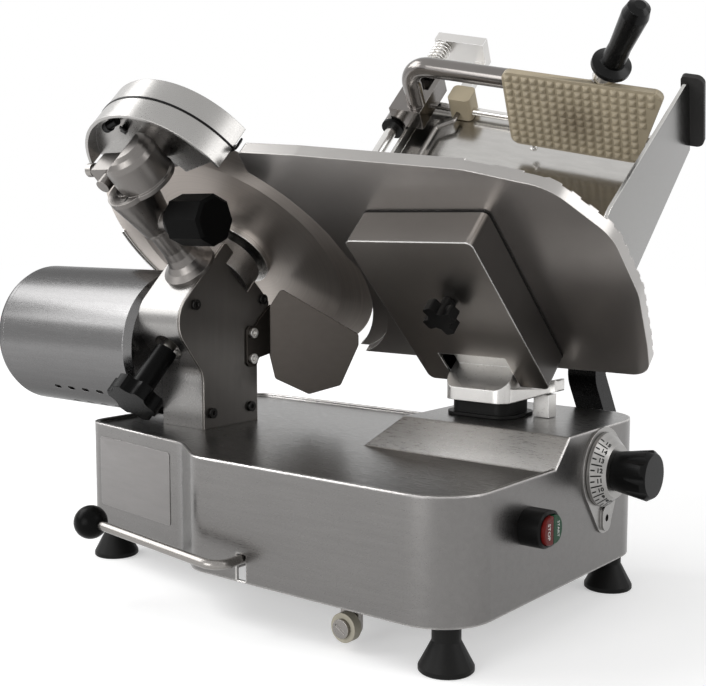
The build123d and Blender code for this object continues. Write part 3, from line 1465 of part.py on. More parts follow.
def pusher_ferrule():
    r = TUBE_RADIUS
    return on_handle([(r, 20), (r + FERRULE_WALL, 20), (r + FERRULE_WALL, 34), (r, 34)])


def pusher_handle():
    return on_handle([(0, 34), (18, 34), (18, 38), (11, 41), (10, 60), (12, 98), (10, 107), (5, 110), (0, 110)])


def pusher_plate():
    outline = [(221, 17), (346, 17), (374, 105), (221, 105)]
    body = prism(outline, -PLATE_T1, -PLATE_T0, [8, 8, 8, 8])
    stud = Pos(0, 0, -PLATE_T0) * extrude(Rectangle(8, 8), STUD_HEIGHT, taper=34)
    for i in range(10):
        for j in range(6):
            x = 231 + STUD_PITCH * i
            y = 26 + STUD_PITCH * j
            if x < 336 + (y - 17) * 0.318:
                body += Pos(x, y, 0) * stud
    collar = TUBE_RADIUS + FERRULE_WALL + GAP
    body -= on_handle([(0, 0), (collar, 0), (collar, 60), (0, 60)])
    return body - pusher_tube()


def fence_block():
    body = box(FENCE_X0, FENCE_X1, 1, 27, -FENCE_T - 14, -FENCE_T + 8)
    body = fillet(body.edges().filter_by(Axis.Y), 5)
    body -= rod_x(FENCE_ROD_RADIUS + FIT, FENCE_X0 - 1, FENCE_X1 + 1, FENCE_ROD_Y, -FENCE_T)
    return body


def fence_wire():
    low = FENCE_T - 8
    y = FENCE_ROD_Y + 1
    path = FilletPolyline((147, y, -low), (147, y, -206), (133, y, -194), (133, y, -46), radius=[6, 6])
    start = Plane(origin=path @ 0, z_dir=path % 0)
    return sweep(start * Circle(WIRE_RADIUS), path)


def fence_rod():
    return rod_x(FENCE_ROD_RADIUS, TRAY_X0 + TRAY_SHEET, TRAY_X1 - TRAY_SHEET, FENCE_ROD_Y, -FENCE_T)


NODES["slide_rails"] = slide_rails()
NODES["carriage_bearing"] = carriage_bearing()
NODES["carriage_arm"] = carriage_arm()
NODES["carriage_tray"] = on_tray(carriage_tray())
NODES["corner_guard"] = on_tray(corner_guard())
NODES["pusher_rod"] = on_tray(rod_z(ROD_RADIUS, -ROD_TOP, -LUG_LOW, ROD_X, ROD_Y))
NODES["pusher_bracket"] = on_tray(pusher_bracket())
NODES["pusher_spring"] = on_tray(pusher_spring())
NODES["pusher_bush"] = on_tray(pusher_bush())
NODES["pusher_arm"] = on_tray(pusher_sleeve() + pusher_tube())
NODES["pusher_ferrule"] = on_tray(pusher_ferrule())
NODES["pusher_handle"] = on_tray(pusher_handle())
NODES["pusher_plate"] = on_tray(pusher_plate())
NODES["fence_rod"] = on_tray(fence_rod())
NODES["fence_block"] = on_tray(fence_block())
NODES["fence_wire"] = on_tray(fence_wire())

os.makedirs("parts", exist_ok=True)
for name, shape in NODES.items():
    export_step(Pos(CENTRE_SHIFT_X, CENTRE_SHIFT_Y, 0) * shape, f"parts/{name}.step")
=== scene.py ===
import json
import math

import bmesh
import bpy
from mathutils import Matrix, Vector

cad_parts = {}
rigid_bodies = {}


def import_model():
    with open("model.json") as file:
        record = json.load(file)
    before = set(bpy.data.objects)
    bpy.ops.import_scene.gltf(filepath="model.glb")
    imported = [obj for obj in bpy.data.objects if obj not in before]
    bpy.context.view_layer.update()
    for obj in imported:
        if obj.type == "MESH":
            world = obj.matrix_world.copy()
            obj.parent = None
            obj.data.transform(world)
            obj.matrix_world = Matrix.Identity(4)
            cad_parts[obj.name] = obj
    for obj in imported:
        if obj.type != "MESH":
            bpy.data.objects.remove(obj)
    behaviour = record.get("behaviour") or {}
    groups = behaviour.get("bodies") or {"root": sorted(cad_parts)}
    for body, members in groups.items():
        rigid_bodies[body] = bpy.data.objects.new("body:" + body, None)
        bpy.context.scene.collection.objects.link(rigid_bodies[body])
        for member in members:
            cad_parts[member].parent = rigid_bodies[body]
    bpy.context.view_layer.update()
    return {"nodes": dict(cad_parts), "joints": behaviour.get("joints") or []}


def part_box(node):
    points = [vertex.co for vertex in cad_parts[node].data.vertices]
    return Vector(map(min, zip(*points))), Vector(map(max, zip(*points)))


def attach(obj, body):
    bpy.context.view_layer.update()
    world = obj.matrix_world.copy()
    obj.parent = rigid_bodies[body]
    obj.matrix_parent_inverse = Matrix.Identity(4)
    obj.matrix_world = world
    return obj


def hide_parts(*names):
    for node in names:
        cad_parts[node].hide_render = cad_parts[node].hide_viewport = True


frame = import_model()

bl_info = {
    "name": "Food slicer",
    "version": (1, 0, 0),
    "blender": (4, 5, 0),
    "location": "View3D > Sidebar > Slicer",
    "description": "Finishes, marks and small trim of a gravity-feed food slicer",
    "category": "Object",
}

NODES = frame["nodes"]
JOINTS = {joint["name"]: joint for joint in frame["joints"]}
KNIFE_CENTRE = Vector(JOINTS["knife_spin"]["pos_m"])
DIAL_CENTRE = Vector(JOINTS["index_turn"]["pos_m"])
BRACKET_SCREWS = Vector((-0.0671, -0.0305, 0.2045))
KNIFE_TILT = math.radians(-135.0)
TRAY_TURN = math.radians(15.0)
SLOPE = math.sqrt(0.5)
MM = 0.001

# Ways that the faces with a colour of their own look: the ramp's painted highlight, the painted shade of the
# tray's end wall and of the gauge box's side and top, and the gauge plate's own front finish
RAMP_OUT = (0.0, -0.752, 0.659)
TRAY_END_OUT = (0.966, 0.183, -0.183)
BOX_SIDE_OUT = (1.0, 0.0, 0.0)
BOX_TOP_OUT = (0.0, -SLOPE, SLOPE)
GAUGE_FRONT_OUT = (0.0, -SLOPE, -SLOPE)

# How squarely a face looks along a direction before its own shade begins and is full
BROAD = (0.70, 0.92)
SHARP = (0.88, 0.97)

# Stretch of the brushed lines, and noise scales of the fine textures
LONG_GRAIN = (0.5, 8, 8)
UPRIGHT_GRAIN = (8, 8, 0.6)
BRUSHED_FINE = 240.0
BRUSHED_BROAD = 26.0
POLISHED_FINE = 1600.0
BUMP_DEPTH = 0.2 * MM

# Softboxes of the studio: place and size in metres, power in watts
LAMPS = (
    ("top_softbox", (-1.15, -0.45, 1.3), 0.9, 11),
    ("left_softbox", (-1.2, -1.14, 1.03), 0.8, 7),
    ("front_softbox", (0.1, -1.9, 0.5), 1.0, 13),
    ("side_softbox", (1.8, 0.4, 1.2), 1.0, 8),
)
LAMP_AIM = Vector((0, 0, 0.25))
FLOOR_SIZE = 12.0
FLOOR_GREY = (0.80, 0.80, 0.80)
SENSOR_WIDTH = 36.0
NEAR_CLIP = 0.01

# Smooth shading up to this angle
SMOOTH_ANGLE = math.radians(35)


def colour(name, description, default):
    return bpy.props.FloatVectorProperty(
        name=name, description=description, subtype="COLOR", size=3, min=0.0, max=1.0, default=default
    )


def length(name, description, default):
    return bpy.props.FloatProperty(name=name, description=description, unit="LENGTH", default=default)


# Settings
class SlicerFinish(bpy.types.PropertyGroup):
    """Colours of the machine's finishes"""

    base: colour("Base", "Brushed sheet of the base", (0.172, 0.167, 0.163))
    # Painted highlight: the platform's front slope is given a lighter colour in place of the lamp's
    # reflection on it
    ramp: colour("Ramp", "Front slope of the platform, rubbed brighter", (0.37, 0.363, 0.354))
    # Painted shade: the tray's outer end wall is given a darker colour than the rest of the tray
    tray_wall_shade: colour("Tray wall", "End wall of the carriage tray", (0.172, 0.168, 0.161))
    tray: colour("Tray", "Brushed sheet of the carriage tray", (0.50, 0.49, 0.472))
    deflector: colour("Deflector", "Dull sheet of the slice deflector", (0.045, 0.04, 0.036))
    cover: colour("Knife cover", "Turned face of the knife cover", (0.45, 0.43, 0.4))
    motor: colour("Motor", "Brushed shell of the motor", (0.165, 0.163, 0.163))
    post: colour("Post", "Cast post under the knife", (0.245, 0.239, 0.233))
    side_plate: colour("Side plate", "Dark brushed plate on the post", (0.142, 0.134, 0.126))
    guard: colour("Ring guard", "Ring round the knife", (0.6, 0.59, 0.575))
    gauge: colour("Gauge plate", "Anodised gauge plate", (0.49, 0.465, 0.447))
    gauge_rim: colour("Gauge rim", "Machined edges and ribs of the gauge plate", (0.38, 0.367, 0.354))
    # Painted shade: the gauge box's right side and top are given darker colours than its front
    gauge_side_shade: colour("Gauge box side", "Right side of the gauge box", (0.06, 0.056, 0.053))
    gauge_top_shade: colour("Gauge box top", "Upper side of the gauge box", (0.18, 0.171, 0.162))
    screw: colour("Black screws", "Blackened screws of the side plate", (0.035, 0.034, 0.033))
    gauge_box: colour("Gauge box", "Dark box behind the gauge plate", (0.36, 0.337, 0.315))
    casting: colour("Casting", "Bright cast aluminium of the gauge block", (0.6, 0.588, 0.57))
    cap: colour("Sharpener cap", "Satin caps of the sharpener", (0.35, 0.342, 0.332))
    sharpener: colour("Sharpener", "Darker castings of the sharpener", (0.17, 0.16, 0.152))
    dial: colour("Dial", "Satin thickness dial", (0.31, 0.303, 0.294))
    knife: colour("Knife", "Ground knife steel", (0.56, 0.51, 0.47))
    rod: colour("Rods", "Polished rods, lever and screws", (0.7, 0.688, 0.668))
    lever: colour("Lever", "Polished lift lever and fence wire", (0.25, 0.238, 0.226))
    bracket: colour("Bracket", "Pale aluminium of the pusher bracket", (0.64, 0.628, 0.61))
    arm: colour("Pusher arm", "Polished tube of the pusher arm", (0.19, 0.178, 0.17))
    bronze: colour("Bronze", "Worm wheel and carriage bearing", (0.46, 0.32, 0.15))
    stone: colour("Stones", "Sharpening stones", (0.42, 0.40, 0.39))
    black: colour("Black plastic", "Knobs, switch and grip", (0.003, 0.003, 0.003))
    rubber: colour("Rubber", "Feet and bellows", (0.008, 0.0079, 0.0077))
    corner: colour("Corner guard", "Grey plastic corner of the tray", (0.042, 0.041, 0.04))
    ivory: colour("Ivory plastic", "Pusher plate and fence", (0.435, 0.374, 0.268))
    roller: colour("Roller", "Beige roller under the lift lever", (0.4, 0.375, 0.305))
    stop: colour("Stop", "Stop button", (0.11, 0.007, 0.006))
    start: colour("Start", "Start button", (0.004, 0.05, 0.02))
    ink: colour("Dial ink", "Numbers and lines of the dial", (0.010, 0.010, 0.010))
    plate: colour("Blank plate", "Bare plate on the base", (0.21, 0.202, 0.198))
    word: colour("Word ink", "Words on the buttons", (0.80, 0.80, 0.78))


class SlicerTrim(bpy.types.PropertyGroup):
    """Sizes of the marks and small trim"""

    dial_top: bpy.props.IntProperty(name="Dial top", description="Last number on the dial", default=15)
    dial_first: bpy.props.FloatProperty(
        name="Dial zero", description="Angle of the number 0", subtype="ANGLE", default=math.radians(396.5)
    )
    dial_step: bpy.props.FloatProperty(
        name="Dial step",
        description="Angle from number to number",
        subtype="ANGLE",
        default=math.radians(18.75),
    )
    digit: length("Digit height", "Height of the dial numbers", 5.2 * MM)
    word: length("Word length", "Length of the words on the buttons", 12.5 * MM)
    stud: length("Stud pitch", "Spacing of the studs on the pusher plate", 8.4 * MM)
    plate_width: length("Plate width", "Width of the blank plate", 116.0 * MM)
    plate_height: length("Plate height", "Height of the blank plate", 66.0 * MM)


class SlicerStage(bpy.types.PropertyGroup):
    """Camera of the studio"""

    eye: bpy.props.FloatVectorProperty(
        name="Eye",
        description="Camera place",
        subtype="TRANSLATION",
        unit="LENGTH",
        size=3,
        default=(0.7282, -0.8749, 0.3308),
    )
    azimuth: bpy.props.FloatProperty(
        name="Azimuth", description="Camera side angle", subtype="ANGLE", default=math.radians(38.5)
    )
    elevation: bpy.props.FloatProperty(
        name="Elevation", description="Camera height angle", subtype="ANGLE", default=math.radians(6.1)
    )
    lens: bpy.props.FloatProperty(name="Lens", description="Focal length in millimetres", default=60.86)


# Finishes
def blank_material(name):
    material = bpy.data.materials.new(name)
    material.use_nodes = True
    tree = material.node_tree
    return material, tree, tree.nodes["Principled BSDF"]


def mapped(tree, scale=(1, 1, 1), rotation=(0, 0, 0), location=(0, 0, 0)):
    coords = tree.nodes.new("ShaderNodeTexCoord")
    mapping = tree.nodes.new("ShaderNodeMapping")
    mapping.inputs["Scale"].default_value = scale
    mapping.inputs["Rotation"].default_value = rotation
    mapping.inputs["Location"].default_value = location
    tree.links.new(coords.outputs["Object"], mapping.inputs["Vector"])
    return mapping.outputs["Vector"]


def noise(tree, vector, scale, detail=4.0, rough=0.55):
    node = tree.nodes.new("ShaderNodeTexNoise")
    node.inputs["Scale"].default_value = scale
    node.inputs["Detail"].default_value = detail
    node.inputs["Roughness"].default_value = rough
    tree.links.new(vector, node.inputs["Vector"])
    return node.outputs["Fac"]


def spread(tree, value, low, high, start=0.3, end=0.7):
    node = tree.nodes.new("ShaderNodeMapRange")
    node.inputs["From Min"].default_value = start
    node.inputs["From Max"].default_value = end
    node.inputs["To Min"].default_value = low
    node.inputs["To Max"].default_value = high
    tree.links.new(value, node.inputs["Value"])
    return node.outputs["Result"]


def maths(tree, operation, first, second):
    node = tree.nodes.new("ShaderNodeMath")
    node.operation = operation
    node.use_clamp = operation == "ADD"
    for socket, value in zip(node.inputs, (first, second)):
        if isinstance(value, float):
            socket.default_value = value
        else:
            tree.links.new(value, socket)
    return node.outputs["Value"]


def tint(tree, value, shade, amount):
    ramp = tree.nodes.new("ShaderNodeValToRGB")
    ramp.color_ramp.elements[0].position = 0.3
    ramp.color_ramp.elements[1].position = 0.7
    ramp.color_ramp.elements[0].color = [c * (1 - amount) for c in shade] + [1]
    ramp.color_ramp.elements[1].color = [min(1.0, c * (1 + amount)) for c in shade] + [1]
    tree.links.new(value, ramp.inputs["Fac"])
    return ramp.outputs["Color"]


# Mask of the edges that coat lightens: wear, and with a large factor a painted highlight along them
def edge_wear_and_glint(tree, radius):
    softened = tree.nodes.new("ShaderNodeBevel")
    softened.samples = 4
    softened.inputs["Radius"].default_value = radius
    surface = tree.nodes.new("ShaderNodeNewGeometry")
    dot = tree.nodes.new("ShaderNodeVectorMath")
    dot.operation = "DOT_PRODUCT"
    tree.links.new(softened.outputs["Normal"], dot.inputs[0])
    tree.links.new(surface.outputs["Normal"], dot.inputs[1])
    return softened.outputs["Normal"], spread(tree, dot.outputs["Value"], 1.0, 0.0, 0.80, 0.985)


def blended(tree, factor, first, second):
    mix = tree.nodes.new("ShaderNodeMix")
    mix.data_type = "RGBA"
    tree.links.new(factor, mix.inputs["Factor"])
    tree.links.new(first, mix.inputs["A"])
    if isinstance(second, tuple):
        mix.inputs["B"].default_value = second + (1.0,)
    else:
        tree.links.new(second, mix.inputs["B"])
    return mix.outputs["Result"]


def facing(tree, direction, span):
    coords = tree.nodes.new("ShaderNodeTexCoord")
    dot = tree.nodes.new("ShaderNodeVectorMath")
    dot.operation = "DOT_PRODUCT"
    dot.inputs[1].default_value = direction
    tree.links.new(coords.outputs["Normal"], dot.inputs[0])
    return spread(tree, dot.outputs["Value"], 0.0, 1.0, span[0], span[1])


def distance(tree, vector):
    node = tree.nodes.new("ShaderNodeVectorMath")
    node.operation = "LENGTH"
    tree.links.new(vector, node.inputs[0])
    return node.outputs["Value"]


def near(tree, centre, inner, outer):
    """1 within the inner distance of a point, 0 beyond the outer one"""
    return spread(tree, distance(tree, mapped(tree, location=-centre)), 1.0, 0.0, inner, outer)


def bumped(tree, shader, height, strength, rounded):
    """Fine bump on top of the softened edges"""
    node = tree.nodes.new("ShaderNodeBump")
    node.inputs["Strength"].default_value = strength
    node.inputs["Distance"].default_value = BUMP_DEPTH
    tree.links.new(height, node.inputs["Height"])
    tree.links.new(rounded, node.inputs["Normal"])
    tree.links.new(node.outputs["Normal"], shader.inputs["Normal"])


def coat(tree, shader, shade, vary, cloud, rough, swing, lines, bump, edge, wear_and_glint, faces=()):
    """Colour with clouding and edges lightened as wear and a painted highlight, roughness from the grain,
    and a fine bump on softened edges
    """
    rounded, worn_and_glint = edge_wear_and_glint(tree, edge)
    tone = tint(tree, cloud, shade, vary)
    for direction, span, other in faces:
        tone = blended(tree, facing(tree, direction, span), tone, tint(tree, cloud, other, vary))
    # Edges lightened by a factor: wear, and where the factor is large a painted highlight
    tone = blended(tree, worn_and_glint, tone, tuple(min(0.9, c * wear_and_glint) for c in shade))
    tree.links.new(tone, shader.inputs["Base Color"])
    tree.links.new(spread(tree, lines, rough - swing, rough + swing), shader.inputs["Roughness"])
    bumped(tree, shader, lines, bump, rounded)


def brushed_metal(
    name, shade, rough, stretch, rotation=(0, 0, 0), bump=0.05, edge=0.9, wear_and_glint=1.7, rim=1.0, faces=()
):
    material, tree, shader = blank_material(name)
    shader.inputs["Metallic"].default_value = 1.0
    shader.inputs["Specular Tint"].default_value = (rim, rim, rim, 1.0)
    vector = mapped(tree, stretch, rotation)
    fine = noise(tree, vector, BRUSHED_FINE, 3.0)
    broad = noise(tree, vector, BRUSHED_BROAD, 3.0)
    smear = noise(tree, mapped(tree), 7.0, 4.0)
    cloud = maths(tree, "ADD", maths(tree, "MULTIPLY", broad, 0.6), maths(tree, "MULTIPLY", smear, 0.4))
    coat(tree, shader, shade, 0.06, cloud, rough, 0.06, fine, bump, edge * MM, wear_and_glint, faces)
    return material


def cast_metal(name, shade, rough, grain=900.0, vary=0.06, bump=0.05, edge=0.9, wear_and_glint=1.6, faces=()):
    material, tree, shader = blank_material(name)
    shader.inputs["Metallic"].default_value = 1.0
    vector = mapped(tree)
    fine = noise(tree, vector, grain, 3.0)
    cloud = noise(tree, vector, 16.0, 5.0)
    coat(tree, shader, shade, vary, cloud, rough, bump, fine, bump, edge * MM, wear_and_glint, faces)
    return material


def polished_metal(name, shade, rough):
    return cast_metal(name, shade, rough, POLISHED_FINE, vary=0.08, bump=0.04)


def turned_metal(name, shade, rough, centre, tilt, rings=520.0, vary=0.05):
    material, tree, shader = blank_material(name)
    shader.inputs["Metallic"].default_value = 1.0
    turn = Matrix.Rotation(tilt[0], 3, "X") if tilt[0] else Matrix.Rotation(tilt[1], 3, "Y")
    vector = mapped(tree, (1, 1, 1), (tilt[0], tilt[1], 0), -(turn @ centre))
    flat = tree.nodes.new("ShaderNodeVectorMath")
    flat.operation = "MULTIPLY"
    flat.inputs[1].default_value = (1, 1, 0)
    tree.links.new(vector, flat.inputs[0])
    line = tree.nodes.new("ShaderNodeTexNoise")
    line.noise_dimensions = "1D"
    line.inputs["Scale"].default_value = rings
    line.inputs["Detail"].default_value = 4.0
    tree.links.new(distance(tree, flat.outputs["Vector"]), line.inputs["W"])
    lines = line.outputs["Fac"]
    coat(tree, shader, shade, vary, lines, rough, 0.04, lines, 0.03, 0.6 * MM, 1.8)
    return material


def plastic(name, shade, rough, grain=1400.0, bump=0.08, vary=0.10, wear_and_glint=1.8, gloss=0.12):
    material, tree, shader = blank_material(name)
    shader.inputs["Specular IOR Level"].default_value = gloss
    vector = mapped(tree)
    fine = noise(tree, vector, grain, 2.0)
    cloud = noise(tree, vector, 30.0, 4.0)
    coat(tree, shader, shade, vary, cloud, rough, 0.06, fine, bump, 0.8 * MM, wear_and_glint)
    return material


def spotted_ivory(name, shade, centre):
    """Ivory plastic with a brown patch round a given point"""
    material, tree, shader = blank_material(name)
    shader.inputs["Specular IOR Level"].default_value = 0.3
    vector = mapped(tree)
    fine = noise(tree, vector, 700.0, 2.0)
    cloud = noise(tree, vector, 40.0, 4.0)
    patch = near(tree, centre, 4 * MM, 34 * MM)
    brown_spot = maths(tree, "MULTIPLY", patch, spread(tree, cloud, 0.36, 0.6))
    brown = tuple(c * f for c, f in zip(shade, (0.30, 0.26, 0.22)))
    tone = blended(tree, brown_spot, tint(tree, cloud, shade, 0.06), brown)
    rounded = edge_wear_and_glint(tree, 0.8 * MM)[0]
    tree.links.new(tone, shader.inputs["Base Color"])
    tree.links.new(spread(tree, cloud, 0.36, 0.48), shader.inputs["Roughness"])
    bumped(tree, shader, fine, 0.06, rounded)
    return material


def paint(material, *names):
    for name in names:
        mesh = NODES[name].data
        mesh.materials.clear()
        mesh.materials.append(material)


# Modelling helpers
def deselect():
    for item in bpy.context.view_layer.objects:
        item.select_set(False)


def edit(piece, test=None):
    """Open a piece in edit mode with the faces chosen whose middle and normal pass the test"""
    bpy.context.view_layer.objects.active = piece
    bpy.ops.object.mode_set(mode="EDIT")
    bpy.ops.mesh.select_mode(type="FACE")
    bpy.ops.mesh.select_all(action="SELECT" if test is None else "DESELECT")
    if test is None:
        return
    mesh = bmesh.from_edit_mesh(piece.data)
    for face in mesh.faces:
        face.select_set(test(face.calc_center_median(), face.normal))
    mesh.select_flush_mode()
    bmesh.update_edit_mesh(piece.data)


def close(piece):
    bpy.ops.object.mode_set(mode="OBJECT")
    return piece


def modify(piece, kind, **values):
    bpy.context.view_layer.objects.active = piece
    modifier = piece.modifiers.new(kind.lower(), kind)
    for name, value in values.items():
        setattr(modifier, name, value)
    bpy.ops.object.modifier_apply(modifier=modifier.name)


def bevel(piece, width, segments, degrees=30):
    """Round the edges that turn by more than an angle"""
    limit = math.radians(degrees)
    modify(piece, "BEVEL", width=width, segments=segments, limit_method="ANGLE", angle_limit=limit)


def apply_place(piece, place):
    piece.matrix_basis = place @ piece.matrix_basis
    deselect()
    piece.select_set(True)
    bpy.context.view_layer.objects.active = piece
    bpy.ops.object.transform_apply(location=True, rotation=True, scale=True)


def settle(piece, name, place, body, material):
    apply_place(piece, place)
    bpy.ops.object.shade_smooth_by_angle(angle=SMOOTH_ANGLE)
    piece.name = name
    piece.data.name = name
    piece.data.materials.clear()
    piece.data.materials.append(material)
    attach(piece, body)
    return piece


def axes(origin, along, up):
    across = along.cross(up)
    place = Matrix((along, up, across)).transposed().to_4x4()
    place.translation = origin
    return place


def knife_place(x=0.0, s=0.0, n=0.0):
    """Place in the knife's own frame, in millimetres: along the travel, up the slope, out of its face"""
    frame_k = axes(KNIFE_CENTRE, Vector((1, 0, 0)), Vector((0, -SLOPE, SLOPE)))
    return frame_k @ Matrix.Translation((x * MM, s * MM, n * MM))


def lettering(words, size, bold=0.0):
    deselect()
    bpy.ops.object.text_add(location=(0, 0, 0))
    piece = bpy.context.object
    piece.data.body = words
    piece.data.size = size
    piece.data.align_x = "CENTER"
    piece.data.align_y = "CENTER"
    piece.data.offset = bold
    piece.data.resolution_u = 6
    bpy.ops.object.convert(target="MESH")
    return bpy.context.object


def joined(pieces):
    deselect()
    for piece in pieces:
        piece.select_set(True)
    bpy.context.view_layer.objects.active = pieces[0]
    bpy.ops.object.join()
    return bpy.context.object


# Finishes of the solid parts
class SLICER_OT_sheet_metal(bpy.types.Operator):
    """Brush the sheet of the base, tray, motor, side plate and deflector"""

    bl_idname = "slicer.sheet_metal"
    bl_label = "Sheet metal"

    def execute(self, context):
        look = context.scene.slicer_finish
        # Painted highlight on the platform's front slope
        ramp = [(RAMP_OUT, SHARP, look.ramp[:])]
        # The base's edges are lightened strongly: a painted highlight along its rims
        base = brushed_metal("base_steel", look.base[:], 0.30, LONG_GRAIN, edge=3.0, wear_and_glint=4.6, faces=ramp)
        paint(base, "base_housing", "base_floor")
        # Painted shade on the tray's outer end wall
        wall = [(TRAY_END_OUT, BROAD, look.tray_wall_shade[:])]
        turn = (0, 0, TRAY_TURN)
        tray = brushed_metal("tray_steel", look.tray[:], 0.20, LONG_GRAIN, turn, bump=0.02, faces=wall)
        paint(tray, "carriage_tray")
        paint(brushed_metal("deflector_steel", look.deflector[:], 0.34, LONG_GRAIN), "slice_deflector")
        motor = brushed_metal("motor_steel", look.motor[:], 0.24, LONG_GRAIN, bump=0.025, rim=0.45)
        paint(motor, "motor_shell", "motor_end_cap")
        side = brushed_metal("side_plate_steel", look.side_plate[:], 0.36, UPRIGHT_GRAIN, edge=1.4, wear_and_glint=4.5)
        paint(side, "post_side_plate")
        return {"FINISHED"}


class SLICER_OT_castings(bpy.types.Operator):
    """Finish the cast and anodised aluminium"""

    bl_idname = "slicer.castings"
    bl_label = "Aluminium castings"

    def execute(self, context):
        look = context.scene.slicer_finish
        paint(cast_metal("post_casting", look.post[:], 0.30), "post_housing", "motor_stator")
        paint(cast_metal("guard_casting", look.guard[:], 0.28), "ring_guard")
        front = [(GAUGE_FRONT_OUT, BROAD, look.gauge[:])]
        plate = cast_metal("gauge_anodised", look.gauge_rim[:], 0.28, bump=0.006, faces=front)
        paint(plate, "gauge_plate")
        # Painted shade on the gauge box's right side and top
        box_shades = [(BOX_SIDE_OUT, BROAD, look.gauge_side_shade[:]), (BOX_TOP_OUT, BROAD, look.gauge_top_shade[:])]
        satin = look.gauge_box[:]
        case = cast_metal("gauge_box_satin", satin, 0.30, bump=0.02, edge=1.6, wear_and_glint=2.8, faces=box_shades)
        paint(case, "gauge_box")
        block = cast_metal("block_casting", look.casting[:], 0.36, grain=700.0, vary=0.10, bump=0.10)
        paint(block, "gauge_block", "gauge_slider")
        paint(cast_metal("cap_satin", look.cap[:], 0.30), "sharpener_cap_rear", "sharpener_cap_front")
        paint(cast_metal("sharpener_casting", look.sharpener[:], 0.32), "sharpener_arm", "sharpener_body")
        dial = turned_metal("dial_satin", look.dial[:], 0.32, DIAL_CENTRE, (0.0, math.radians(-90)))
        paint(dial, "index_dial", "dial_plate")
        paint(cast_metal("bracket_satin", look.bracket[:], 0.36), "pusher_bracket")
        return {"FINISHED"}


class SLICER_OT_steel(bpy.types.Operator):
    """Grind the knife and its cover, and polish rods, screws and shafts"""

    bl_idname = "slicer.steel"
    bl_label = "Knife and bright steel"

    def execute(self, context):
        look = context.scene.slicer_finish
        tilt = (KNIFE_TILT, 0.0)
        paint(turned_metal("ground_knife", look.knife[:], 0.36, KNIFE_CENTRE, tilt), "knife")
        cover = turned_metal("turned_cover", look.cover[:], 0.28, KNIFE_CENTRE, tilt, rings=700.0)
        paint(cover, "knife_cover")
        rods = polished_metal("bright_steel", look.rod[:], 0.18)
        paint(rods, "knife_shaft", "knife_screws", "foot_bolts", "bearings", "motor_rotor", "slide_rails")
        paint(rods, "index_shaft", "pusher_rod", "fence_rod", "pusher_ferrule", "pusher_spring")
        lever = polished_metal("lever_steel", look.lever[:], 0.26)
        paint(lever, "lift_lever", "roller_screw", "fence_wire", "sharpener_pin")
        # The two screws of the deflector's bracket are bright ones
        screws = cast_metal("blackened_steel", look.screw[:], 0.32)
        tree = screws.node_tree
        shade = tree.nodes["Principled BSDF"].inputs["Base Color"]
        pair = near(tree, BRACKET_SCREWS, 20 * MM, 22 * MM)
        tree.links.new(blended(tree, pair, shade.links[0].from_socket, look.rod[:]), shade)
        paint(screws, "post_screws")
        paint(polished_metal("polished_tube", look.arm[:], 0.16), "pusher_arm")
        paint(cast_metal("bearing_bronze", look.bronze[:], 0.32), "worm_wheel", "carriage_bearing")
        stone = plastic("grinding_stone", look.stone[:], 0.85, grain=2600.0, bump=0.5, vary=0.2)
        paint(stone, "sharpener_stones")
        return {"FINISHED"}


class SLICER_OT_plastics(bpy.types.Operator):
    """Finish the plastic and rubber parts"""

    bl_idname = "slicer.plastics"
    bl_label = "Plastic and rubber"

    def execute(self, context):
        look = context.scene.slicer_finish
        paint(plastic("matt_black", look.black[:], 0.5, gloss=0.03), "sharpener_knob")
        black = plastic("black_plastic", look.black[:], 0.34)
        paint(black, "index_knob", "gauge_star_knob", "switch_body", "pusher_bush")
        paint(plastic("glossy_black", look.black[:], 0.24, gloss=0.18), "pusher_handle")
        paint(plastic("worn_black", look.black[:], 0.28, gloss=0.05), "cover_knob", "lever_ball")
        paint(plastic("black_enamel", look.black[:], 0.26, grain=500.0, bump=0.12), "carriage_arm")
        rubber = plastic("black_rubber", look.rubber[:], 0.45, grain=900.0, bump=0.12)
        paint(rubber, "feet", "gauge_bellows")
        paint(plastic("corner_grey", look.corner[:], 0.50, grain=1100.0, bump=0.12), "corner_guard")
        pale = {"grain": 700.0, "bump": 0.08, "vary": 0.05, "wear_and_glint": 1.2}
        paint(plastic("ivory_plastic", look.ivory[:], 0.42, **pale), "fence_block")
        paint(plastic("roller_plastic", look.roller[:], 0.45, **pale), "lift_roller")
        smooth = {"grain": 900.0, "bump": 0.04, "vary": 0.06, "wear_and_glint": 1.5}
        paint(plastic("stop_red", look.stop[:], 0.26, **smooth), "stop_button")
        paint(plastic("start_green", look.start[:], 0.26, **smooth), "start_button")
        return {"FINISHED"}


